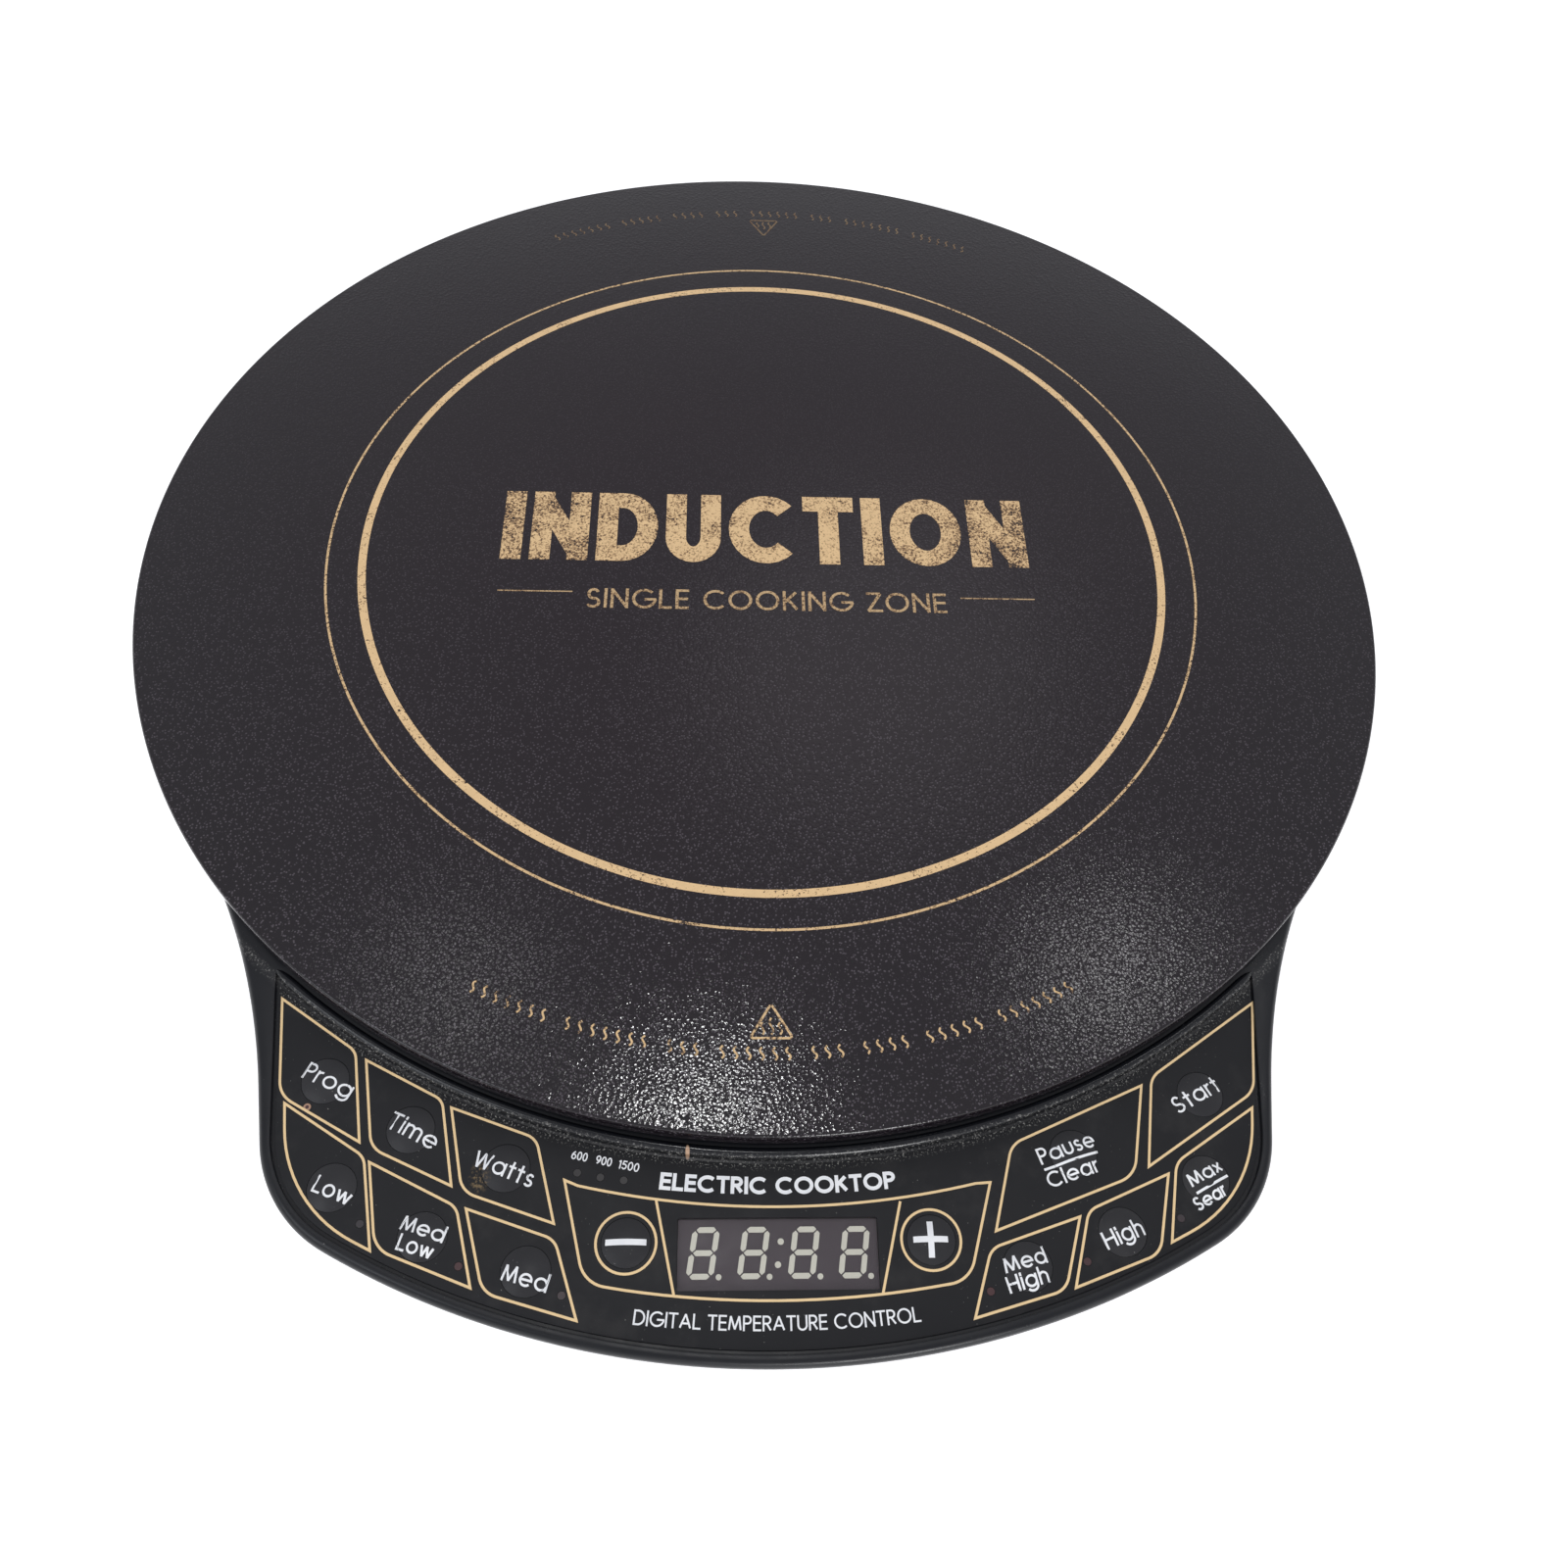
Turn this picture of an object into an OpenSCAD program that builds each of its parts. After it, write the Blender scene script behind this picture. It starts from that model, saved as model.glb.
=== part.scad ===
// Portable single-zone induction cooktop: a round glass plate on a shallow housing
// that grows into a curved key block at the front.
// +Z is up and -Y is the front. The origin is the middle of the footprint, on the counter.
// Plan positions inside the modules are measured from the axis of the glass plate.

/* [Glass] */
// Diameter of the round glass plate
glass_d = 311; // [309:0.5:312]
// Thickness of the glass plate
glass_t = 4; // [3.5:0.5:4.5]
// Thickness of the sealing bead under the glass
gasket_t = 0.9; // [0.7:0.1:1.2]

/* [Housing] */
// Height from the counter to the top of the glass
total_h = 63.5; // [63:0.5:68]
// Distance from the axis of the glass to the front edge
front_reach = 196.5; // [195:0.5:198]
// Half width of the key block at its straight sides
block_half_w = 102; // [101:0.5:104]
// Radius of the two front corners
corner_r = 30; // [29:1:33]
// Radius of the hollow neck between the block and the round body
neck_r = 160; // [140:5:180]
// Thickness of the housing walls
wall = 2.4; // [2:0.2:2.8]
// Height of the seam between the two housings
seam_z = 40; // [39:0.5:41]
// How far the lowest edge lies inside the widest one
base_inset = 25; // [23:0.5:25.5]
// Height of the rubber feet
foot_h = 6.5; // [5:0.5:7]

/* [Keys] */
// Diameter of a key dome
dome_d = 9.2; // [8:0.2:9.6]
// Rise of a key dome above the film
dome_rise = 0.8; // [0.5:0.1:1]
// Radius of the upper row of keys about the glass axis
upper_row_r = 168; // [167:0.5:169]
// Radius of the lower row of keys
lower_row_r = 185.2; // [184:0.2:185.2]
// Radius of the minus and plus keys
middle_row_r = 176.3; // [175:0.1:177]

/* [Coil] */
// Radius of the innermost turn
coil_in_r = 24; // [22:1:26]
// Distance between neighbouring turns
turn_pitch = 3.6; // [3.5:0.1:3.7]
// Number of turns
turns = 16; // [12:1:16]
// Diameter of the litz bundle
litz_d = 3.2; // [2.6:0.1:3.3]

/* [Fan] */
// Side of the square fan frame
fan_side = 80; // [80:1:80]
// Number of blades
blade_count = 7; // [5:1:9]

/* [Hidden] */
KEYS = [
  // name, radius, angle from the front with + to the right
  ["key_prog", upper_row_r, -32.5],
  ["key_time", upper_row_r, -25.4],
  ["key_watts", upper_row_r, -18.3],
  ["key_pause_clear", upper_row_r, 20.8],
  ["key_start", upper_row_r + 1.4, 31.2],
  ["key_low", lower_row_r - 1, -27.7],
  ["key_med_low", lower_row_r, -21.3],
  ["key_med", lower_row_r, -14.8],
  ["key_med_high", lower_row_r, 15],
  ["key_high", lower_row_r, 21.3],
  ["key_max_sear", lower_row_r - 1.6, 27.8],
  ["key_minus", middle_row_r, -9.4],
  ["key_plus", middle_row_r, 9.7]
];

$fn = 64;
eps = 0.01;
gap = 0.1;

// Levels, from the counter up
floor_t = 2.5;
floor_z = foot_h + floor_t;
rim_z = total_h - glass_t - gasket_t;
roof_t = 3;
roof_z = rim_z - roof_t;
recess_z = rim_z - 1;
film_t = 0.4;
film_z = recess_z + film_t;
shoulder_z = rim_z - 2.2;

// Plan shape of the housing: a round body, hollow necks, straight leaning sides,
// round corners, and a front arc whose centre lies in front of the glass axis
glass_r = glass_d / 2;
body_r = glass_r - 2;
front_shift = 15.5;
front_c = [0, -front_shift];
front_r = front_reach - front_shift;
lean = 11.5;
side_n = [cos(lean), -sin(lean)];
side_t = [sin(lean), cos(lean)];
side_d = side_n * [block_half_w, -150];
corner_n = side_d - corner_r - side_n * front_c;
corner_c = front_c + corner_n * side_n - sqrt(pow(front_r - corner_r, 2) - pow(corner_n, 2)) * side_t;
corner_a = atan2(corner_c[1] - front_c[1], corner_c[0] - front_c[0]);
neck_n = side_d + neck_r;
neck_c = neck_n * side_n - sqrt(pow(body_r + neck_r, 2) - pow(neck_n, 2)) * side_t;
neck_a = atan2(neck_c[1], neck_c[0]);
axis_y = (front_reach - glass_r) / 2;

// Key panel recess
panel_inset = 2.3;
panel_lean = 8.2;
recess_r = glass_r + 2.1;
film_r = recess_r + 1.6;
film_clear = 0.7;

// Display
window_x = 0.2;
window_y = -176.1;
window_w = 38.4;
window_l = 13.4;
digit_h = 9.7;
digit_w = 5.2;
digit_pitch = 9.65;
digit_slant = 8;
segment_w = 0.95;

// Key switches and the board under the panel
panel_board_t = 1.6;
panel_board_z = roof_z - 5 - panel_board_t;
switch_side = 6;
switch_h = 3.4;
switch_z = panel_board_z + panel_board_t;
actuator_d = 3.4;
dome_clear = 0.2;
lamp_d = 1.5;
LAMPS = [
  [174, -32.3], [187.6, -25], [187.8, -18.6], [187.8, -12.4],
  [187.8, 12.4], [187.8, 18.5], [187.6, 25],
  [165.1, -13.6], [165, -12], [164.7, -10.4]
];
PANEL_SCREWS = [[177, -25], [177, -16.3], [177, 16.3], [177, 25]];

// Main board
board_t = 1.6;
board_z = floor_z + 6;
board_top = board_z + board_t;
board_lo = [4, -75];
board_hi = [96, 75];
board_edge = 6;
BOARD_SCREWS = [
  [board_lo[0] + board_edge, board_lo[1] + board_edge],
  [board_hi[0] - board_edge, board_lo[1] + board_edge],
  [board_lo[0] + board_edge, board_hi[1] - board_edge],
  [board_hi[0] - board_edge, board_hi[1] - board_edge]
];

// Coil
carrier_r = 92;
carrier_t = 2;
carrier_z = rim_z - 8.6;
coil_z = carrier_z + carrier_t + 0.1 + litz_d / 2;
coil_out_r = coil_in_r + turns * turn_pitch;
COIL_POSTS = [[0, 88], [-76, -44], [76, -44]];

// Fan
fan_c = [-45, 45];
fan_h = 15;
fan_z = floor_z + 2;
fan_hole = fan_side / 2 - 4.25;
duct_r = fan_side / 2 - 2;
hub_r = 16;
shaft_d = 3;

// Feet, housing screws and cord gland
FEET = [[80, 80], [-80, 80], [62, -138], [-62, -138]];
HOUSING_SCREWS = [[145, 39.4], [145, -39.4], [136, 95], [136, -95], [136, 145], [136, -145]];
screw_seat_z = 32;
gland_z = 24;
gland_y = 142.6;
gland_d = 12.4;
cord_hole_d = 7.8;

black = [0.05, 0.05, 0.055];
dark_grey = [0.16, 0.16, 0.17];
steel = [0.72, 0.73, 0.75];
copper = [0.72, 0.42, 0.2];
board_green = [0.08, 0.3, 0.16];

// Moves what is drawn about the glass axis to its place over the footprint
module on_axis() translate([0, axis_y, 0]) children();

// Point at radius r and angle a from the front, with + to the right
function spot(r, a) = [r * sin(a), -r * cos(a)];

// Points of an arc from angle a to angle b in n steps, leaving out the first few
function arc(c, r, a, b, n, first = 0) =
  [for (i = [first:n]) c + r * [cos(a + (b - a) * i / n), sin(a + (b - a) * i / n)]];

// Right half of the housing outline, d inside the widest edge, from the front to the rear
function half_outline(d) = concat(
  arc(front_c, front_r - d, -90, corner_a, 7),
  arc(corner_c, corner_r - d, corner_a, -lean, 8, 1),
  arc(neck_c, neck_r + d, 180 - lean, 180 + neck_a, 7),
  arc([0, 0], body_r - d, neck_a, 90, 26, 1)
);

function mirrored(half) =
  concat(half, [for (i = [len(half) - 2:-1:1]) [-half[i][0], half[i][1]]]);

function outline(d) = mirrored(half_outline(d));

// Inset of the drafted outer wall at height z
function wall_inset(z) =
  (base_inset - 2.6) * (shoulder_z - z) / (shoulder_z - foot_h - floor_t);

// Closed solid through rings of n points each, which turn anticlockwise about its length
module skin(points, n) {
  last = len(points) / n - 1;
  sides = [
    for (k = [0:last - 1]) for (i = [0:n - 1])
      let (a = k * n + i, b = k * n + (i + 1) % n)
        each [[a, a + n, b + n], [a, b + n, b]]
  ];
  near_end = [for (i = [0:n - 1]) i];
  far_end = [for (i = [n - 1:-1:0]) last * n + i];
  polyhedron(points, concat(sides, [near_end, far_end]), convexity = 6);
}

// Solid through the outlines of a list of [inset, height]
module loft(profile)
  skin([for (p = profile) for (q = outline(p[0])) [q[0], q[1], p[1]]], len(outline(0)));

// Plan of the key panel recess, inset from the rim and outside radius inner_r
module panel_plan(inset, inner_r) {
  half = concat(
    arc(front_c, front_r - inset, -90, corner_a, 14),
    arc(corner_c, corner_r - inset, corner_a, -panel_lean, 12, 1),
    [corner_c + (corner_r - inset) * [cos(panel_lean), -sin(panel_lean)]
      + 45 * [sin(panel_lean), cos(panel_lean)]]
  );
  difference() {
    polygon(concat(half, [for (i = [len(half) - 1:-1:1]) [-half[i][0], half[i][1]]]));
    circle(inner_r, $fn = 180);
  }
}

// Pan head screw with a cross recess, head down, its shank going up from the origin
module screw(head_d, head_h, shank_d, shank_l) {
  slot_w = head_d / 7;
  slot_l = head_d * 0.55;
  difference() {
    union() {
      translate([0, 0, -head_h]) cylinder(d1 = head_d * 0.8, d2 = head_d, h = head_h * 0.35);
      translate([0, 0, -head_h * 0.65]) cylinder(d = head_d, h = head_h * 0.65);
      cylinder(d = shank_d, h = shank_l);
    }
    for (a = [0, 90])
      rotate([0, 0, a]) translate([-slot_l / 2, -slot_w / 2, -head_h - eps])
        cube([slot_l, slot_w, head_h * 0.5]);
  }
}

function unit(v) = v / norm(v);

// Point at share t of the way from point i to the next, on a smooth curve through the points
function on_curve(points, i, t) =
  let (
    a = points[max(i - 1, 0)],
    b = points[i],
    c = points[i + 1],
    d = points[min(i + 2, len(points) - 1)]
  )
  (2 * b + (c - a) * t + (2 * a - 5 * b + 4 * c - d) * pow(t, 2) + (3 * b - a - 3 * c + d) * pow(t, 3)) / 2;

// Round lead of diameter d along a smooth curve through the points
module lead(points, d) {
  steps = 4;
  sides = 8;
  across = [0.35, 0.8, -0.5];
  last = len(points) - 1;
  route = concat(
    [for (i = [0:last - 1]) for (s = [0:steps - 1]) on_curve(points, i, s / steps)],
    [points[last]]
  );
  n = len(route);
  skin([
    for (k = [0:n - 1])
      let (
        t = unit(route[min(k + 1, n - 1)] - route[max(k - 1, 0)]),
        u = unit(cross(t, across)),
        v = cross(t, u)
      )
      for (s = [0:sides - 1]) route[k] + d / 2 * (cos(s * 360 / sides) * u + sin(s * 360 / sides) * v)
  ], sides);
}

// Block from its lowest corner to its highest
module block(lo, hi) translate(lo) cube(hi - lo);

module vent_cutters() {
  slot_w = 3;
  slot_h = 15;
  for (a = [104:5:134], side = [-1, 1])
    rotate([0, 0, side * a]) translate([-slot_w / 2, -152, 15]) cube([slot_w, 34, slot_h]);
  for (a = [154:5:164], side = [-1, 1])
    rotate([0, 0, side * a]) translate([-slot_w / 2, -152, 15]) cube([slot_w, 34, slot_h]);
}

module intake_plan() {
  bar_pitch = 7;
  slot_w = 3.6;
  translate(fan_c) intersection() {
    circle(fan_side / 2 - 3);
    for (i = [-5:5]) translate([-fan_side / 2, i * bar_pitch - slot_w / 2]) square([fan_side, slot_w]);
  }
}

module bottom_housing() on_axis() color(black) difference() {
  tongue_out = wall_inset(seam_z) + wall + 0.8;
  tongue_in = tongue_out + 2;
  union() {
    difference() {
      union() {
        loft([
          [base_inset, foot_h],
          [base_inset - 1.6, foot_h + 0.7],
          [base_inset - 2.6, floor_z],
          [wall_inset(seam_z - 0.4), seam_z - 0.4]
        ]);
        loft([[tongue_out, seam_z - 2], [tongue_out, seam_z + 3]]);
        translate([-13, 126, gland_z - 12]) cube([26, gland_y - 126, 24]);
      }
      loft([
        [base_inset - 2.6 + wall, floor_z],
        [tongue_in, seam_z - 6],
        [tongue_in, seam_z + 4]
      ]);
    }
    intersection() {
      for (s = HOUSING_SCREWS)
        translate(concat(spot(s[0], s[1]), floor_z)) cylinder(d = 10, h = seam_z - floor_z + 1);
      loft([
        [base_inset - 1, floor_z],
        [wall_inset(seam_z - 0.4) + 0.6, seam_z - 0.4],
        [tongue_out, seam_z],
        [tongue_out, seam_z + 2]
      ]);
    }
    for (p = BOARD_SCREWS)
      translate(concat(p, floor_z - eps)) cylinder(d = 7, h = board_z - floor_z + eps);
    for (p = COIL_POSTS)
      translate(concat(p, floor_z - eps)) cylinder(d = 9, h = carrier_z - floor_z + eps);
    for (x = [-1, 1], y = [-1, 1])
      translate([fan_c[0] + x * fan_hole, fan_c[1] + y * fan_hole, floor_z - eps])
        cylinder(d = 7, h = fan_z - floor_z + eps);
  }
  for (s = HOUSING_SCREWS)
    translate(concat(spot(s[0], s[1]), 0)) {
      cylinder(d = 7, h = screw_seat_z);
      cylinder(d = 3.4, h = seam_z + 5);
    }
  for (p = BOARD_SCREWS) translate(concat(p, floor_z)) cylinder(d = 2.6, h = board_z);
  for (p = COIL_POSTS) translate(concat(p, carrier_z - 12)) cylinder(d = 3.1, h = 20);
  for (x = [-1, 1], y = [-1, 1])
    translate([fan_c[0] + x * fan_hole, fan_c[1] + y * fan_hole, floor_z + 1.5])
      cylinder(d = 3.1, h = fan_z);
  for (p = FEET) translate(concat(p, foot_h - 1)) cylinder(d = 6.2, h = floor_t + 2);
  translate([0, 120, gland_z]) rotate([-90, 0, 0]) cylinder(d = gland_d + 0.2, h = 40);
  translate([0, 0, foot_h - 1]) linear_extrude(floor_t + 2) intake_plan();
  vent_cutters();
}

module top_housing() on_axis() color(black) difference() {
  seat_r = glass_r - 14.5;
  ridge_r = 0.85;
  ridge_a = 41.5;
  union() {
    difference() {
      loft([
        [wall_inset(seam_z), seam_z],
        [0, shoulder_z],
        [0, rim_z - 1.4],
        [0.25, rim_z - 0.6],
        [0.75, rim_z - 0.15],
        [1.4, rim_z]
      ]);
      loft([
        [wall_inset(seam_z - 1) + wall, seam_z - 1],
        [wall_inset(roof_z) + wall, roof_z]
      ]);
      translate([0, 0, roof_z - 1]) cylinder(r = seat_r, h = roof_t + 2, $fn = 128);
    }
    // rounded ridge along the front of the glass
    rotate([0, 0, -90 - ridge_a]) rotate_extrude(angle = 2 * ridge_a, $fn = 128)
      translate([glass_r + 1.2, rim_z - 0.4]) circle(ridge_r, $fn = 32);
    // bosses that take the housing screws, each with a rib to the wall
    intersection() {
      for (s = HOUSING_SCREWS) rotate([0, 0, s[1]]) {
        translate([0, -s[0], seam_z + 3.4]) cylinder(d = 8.4, h = rim_z - seam_z - 3.4);
        translate([-1.2, -s[0] - 12, seam_z + 5]) cube([2.4, 12, rim_z - seam_z - 5]);
      }
      loft([[wall_inset(seam_z) + 1, seam_z], [1.5, shoulder_z], [1.5, rim_z]]);
    }
    for (s = PANEL_SCREWS)
      translate(concat(spot(s[0], s[1]), switch_z)) cylinder(d = 6, h = roof_z - switch_z + eps);
  }
  translate([0, 0, recess_z]) linear_extrude(2) panel_plan(panel_inset, recess_r);
  for (key = KEYS)
    translate(concat(spot(key[1], key[2]), roof_z - 1)) cylinder(d = dome_d + 2 * dome_clear, h = roof_t);
  for (p = LAMPS) translate(concat(spot(p[0], p[1]), roof_z - 1)) cylinder(d = lamp_d + 0.3, h = roof_t);
  translate([window_x - window_w / 2 - 0.6, window_y - window_l / 2 - 0.6, roof_z - 1])
    cube([window_w + 1.2, window_l + 1.2, roof_t]);
  for (s = PANEL_SCREWS) translate(concat(spot(s[0], s[1]), switch_z - 1)) cylinder(d = 2.3, h = 5);
  for (s = HOUSING_SCREWS) translate(concat(spot(s[0], s[1]), seam_z)) cylinder(d = 3.1, h = 14);
}

// The top edge of the glass is ground to a small rounding
module glass_plate() on_axis() color([0.09, 0.08, 0.09]) rotate_extrude($fn = 256) {
  edge_r = 0.7;
  z = rim_z + gasket_t;
  translate([0, z]) square([glass_r, glass_t - edge_r]);
  translate([0, z]) square([glass_r - edge_r, glass_t]);
  translate([glass_r - edge_r, z + glass_t - edge_r]) circle(edge_r);
}

module glass_gasket() on_axis() color(dark_grey) translate([0, 0, rim_z]) difference() {
  cylinder(r = glass_r - 3.6, h = gasket_t, $fn = 128);
  translate([0, 0, -1]) cylinder(r = glass_r - 12, h = 3, $fn = 128);
}

module overlay_film() on_axis() color([0.14, 0.14, 0.15]) translate([0, 0, recess_z])
  linear_extrude(film_t) difference() {
    panel_plan(panel_inset + film_clear, film_r);
    for (key = KEYS) translate(spot(key[1], key[2])) circle(d = dome_d + 2 * dome_clear);
    for (p = LAMPS) translate(spot(p[0], p[1])) circle(d = lamp_d + 0.2, $fn = 32);
    translate([window_x - window_w / 2 - gap, window_y - window_l / 2 - gap])
      square([window_w + 2 * gap, window_l + 2 * gap]);
  }

module display_window() on_axis() color([0.28, 0.26, 0.27, 0.6])
  translate([window_x - window_w / 2, window_y - window_l / 2, film_z - 0.7])
    cube([window_w, window_l, 0.7]);

module display_module() on_axis() color([0.1, 0.1, 0.1]) {
  top = film_z - 1;
  translate([window_x - window_w / 2, window_y - window_l / 2, switch_z])
    cube([window_w, window_l, top - switch_z]);
  // two rows of pins through the board
  for (i = [0:5], side = [-1, 1])
    translate([window_x + (i - 2.5) * 5, window_y + side * 5.5, panel_board_z - 1.5])
      cylinder(d = 0.6, h = panel_board_t + 1.5, $fn = 16);
}

// One bar with pointed ends, lying along X
module segment_bar(length) {
  half_w = segment_w / 2;
  half_l = length / 2;
  polygon([
    [-half_l, 0], [-half_l + half_w, half_w], [half_l - half_w, half_w],
    [half_l, 0], [half_l - half_w, -half_w], [-half_l + half_w, -half_w]
  ]);
}

// Seven bars of one digit, its centre at the origin
module digit_plan() {
  bar = digit_w - segment_w - 0.3;
  stem = (digit_h - segment_w) / 2;
  multmatrix([[1, tan(digit_slant), 0, 0], [0, 1, 0, 0], [0, 0, 1, 0], [0, 0, 0, 1]]) {
    for (y = [-stem, 0, stem]) translate([0, y]) segment_bar(bar);
    for (x = [-1, 1], y = [-1, 1])
      translate([x * (digit_w - segment_w) / 2, y * stem / 2]) rotate(90) segment_bar(stem - 0.3);
  }
}

module display_segments() on_axis() color([0.78, 0.77, 0.68]) {
  digit_y = window_y + 0.35;
  translate([0, 0, film_z - 0.95]) linear_extrude(0.2) {
    for (i = [0:3]) {
      x = 0.35 + (i - 1.5) * digit_pitch;
      translate([x, digit_y]) digit_plan();
      translate([x + 3, digit_y - digit_h / 2 + 0.4]) circle(d = 1.1, $fn = 24);
    }
    for (side = [-1, 1])
      translate([0.45 + side * 0.3, digit_y - 0.1 + side * 2.15]) circle(d = 1.2, $fn = 24);
  }
}

// Rods that carry each lamp's light to the face of the film
module light_pipes() on_axis() color([0.55, 0.28, 0.24]) for (p = LAMPS)
  translate(concat(spot(p[0], p[1]), switch_z + 1)) cylinder(d = lamp_d, h = film_z - switch_z - 1, $fn = 32);

module indicator_leds() on_axis() color([0.85, 0.82, 0.7]) for (p = LAMPS) {
  side = 1.3;
  translate(concat(spot(p[0], p[1]), switch_z)) rotate([0, 0, p[1]]) translate([-side / 2, -side / 2, 0])
    cube([side, side, 0.8]);
}

module control_board() on_axis() color(board_green) translate([0, 0, panel_board_z])
  linear_extrude(panel_board_t) difference() {
    intersection() {
      polygon(outline(6.8));
      translate([-97, -200]) square([194, 74]);
    }
    circle(recess_r + 3, $fn = 128);
    for (s = PANEL_SCREWS) translate(spot(s[0], s[1])) circle(d = 2.8, $fn = 32);
    for (i = [0:5], side = [-1, 1])
      translate([window_x + (i - 2.5) * 5, window_y + side * 5.5]) circle(d = 0.9, $fn = 16);
  }

module tact_switches() on_axis() color(dark_grey) for (key = KEYS)
  translate(concat(spot(key[1], key[2]), switch_z)) rotate([0, 0, key[2]]) difference() {
    translate([-switch_side / 2, -switch_side / 2, 0]) cube([switch_side, switch_side, switch_h]);
    translate([0, 0, switch_h - 2]) cylinder(d = actuator_d + 0.6, h = 3, $fn = 32);
  }

// Dome with its stem, and the switch actuator that it presses
module key(k) on_axis() translate(spot(k[1], k[2])) {
  dome_sphere_r = (pow(dome_d / 2, 2) + pow(dome_rise, 2)) / (2 * dome_rise);
  actuator_top = switch_z + switch_h + 0.7;
  color(black) {
    intersection() {
      translate([0, 0, film_z - 0.7]) cylinder(d = dome_d, h = 3);
      translate([0, 0, film_z + dome_rise - dome_sphere_r]) sphere(dome_sphere_r, $fn = 128);
    }
    translate([0, 0, actuator_top + gap]) cylinder(d = 3.2, h = film_z - 0.5 - actuator_top - gap, $fn = 32);
  }
  color(steel) translate([0, 0, actuator_top - 1.8]) cylinder(d = actuator_d, h = 1.8, $fn = 32);
}

module buzzer() on_axis() color(dark_grey) translate(concat(spot(173, -11), panel_board_z - 6)) difference() {
  cylinder(d = 12, h = 6);
  translate([0, 0, -1]) cylinder(d = 2, h = 3, $fn = 32);
}

module main_board() on_axis() color(board_green) translate([0, 0, board_z]) linear_extrude(board_t) difference() {
  translate(board_lo) square(board_hi - board_lo);
  for (p = BOARD_SCREWS) translate(p) circle(d = 3.2);
  translate(COIL_POSTS[2]) circle(d = 11);
}

module heat_sink() on_axis() color([0.75, 0.76, 0.78]) {
  x0 = 10;
  x1 = 60;
  y0 = 15;
  y1 = 60;
  base_z = board_top + 7.4;
  fin_count = 11;
  fin_t = 1.6;
  block([x0, y0, base_z], [x1, y1, base_z + 4]);
  for (i = [0:fin_count - 1])
    translate([x0 + i * (x1 - x0 - fin_t) / (fin_count - 1), y0, base_z + 3]) cube([fin_t, y1 - y0, 16]);
  for (x = [x0, x1 - 3]) translate([x, y0, board_top]) cube([3, y1 - y0, base_z - board_top + 1]);
}

// Flat power package under the heat sink, with legs bent down into the board
module power_package(at, size, legs, leg_pitch) translate([at[0], at[1], board_top]) {
  body_z = 7.3 - size[2];
  translate([-size[0] / 2, 0, body_z]) cube(size);
  for (i = [0:legs - 1]) translate([(i - (legs - 1) / 2) * leg_pitch - 0.6, 0, 0]) {
    translate([0, -2.6, body_z + 1.6]) cube([1.2, 2.7, 0.8]);
    translate([0, -2.6, 0]) cube([1.2, 0.8, body_z + 2.4]);
  }
}

module power_transistor() on_axis() color(dark_grey) power_package([25, 22], [16, 20.5, 5], 3, 5.4);

module bridge_rectifier() on_axis() color(dark_grey) power_package([45, 24], [21, 17, 4], 4, 5);

module film_capacitors() on_axis() color([0.72, 0.6, 0.22]) {
  block([66, 20, board_top], [92, 58, board_top + 24]);
  block([64, -6, board_top], [84, 14, board_top + 22]);
}

module electrolytic_capacitors() on_axis() color([0.15, 0.2, 0.35])
  for (y = [-8, -24, -40]) translate([18, y, board_top]) cylinder(d = 12.5, h = 20);

module filter_choke() on_axis() translate([78, -20, board_top]) {
  core_r = 9.5;
  strands = 12;
  color(dark_grey) translate([0, 0, 1]) rotate_extrude() translate([core_r - 2.5, 0]) square([5, 9]);
  color(copper) for (i = [0:strands - 1]) rotate([0, 0, i * 360 / strands]) translate([core_r, 0, 5.5])
    rotate([90, 0, 0]) linear_extrude(1.2, center = true) difference() {
      translate([-3.9, -5.5]) square([7.8, 11]);
      translate([-2.7, -4.7]) square([5.4, 9.4]);
    }
}

module transformer() on_axis() translate([42, -18, board_top]) {
  core = [17, 6, 13];
  color(dark_grey) difference() {
    translate([-core[0] / 2, -core[1] / 2, 2]) cube(core);
    for (x = [-6, 2]) translate([x, -core[1], 5]) cube([4, 2 * core[1], core[2] - 6]);
  }
  color([0.8, 0.72, 0.3]) difference() {
    translate([-5.8, -7, 5.2]) cube([11.6, 14, core[2] - 6.4]);
    translate([-2 - gap, -3 - gap, 0]) cube([4 + 2 * gap, 6 + 2 * gap, 20]);
  }
}

module fuse() on_axis() translate([40, -66, board_top + 4]) rotate([0, 90, 0]) {
  color([0.85, 0.88, 0.85]) translate([0, 0, 4.9]) cylinder(d = 4.8, h = 10.2, $fn = 32);
  color(steel) for (z = [0, 15]) translate([0, 0, z]) cylinder(d = 5.2, h = 5, $fn = 32);
}

module varistor() on_axis() color([0.15, 0.35, 0.6]) translate([69, -64, board_top + 9])
  rotate([90, 0, 0]) cylinder(d = 14, h = 4, $fn = 48);

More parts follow.
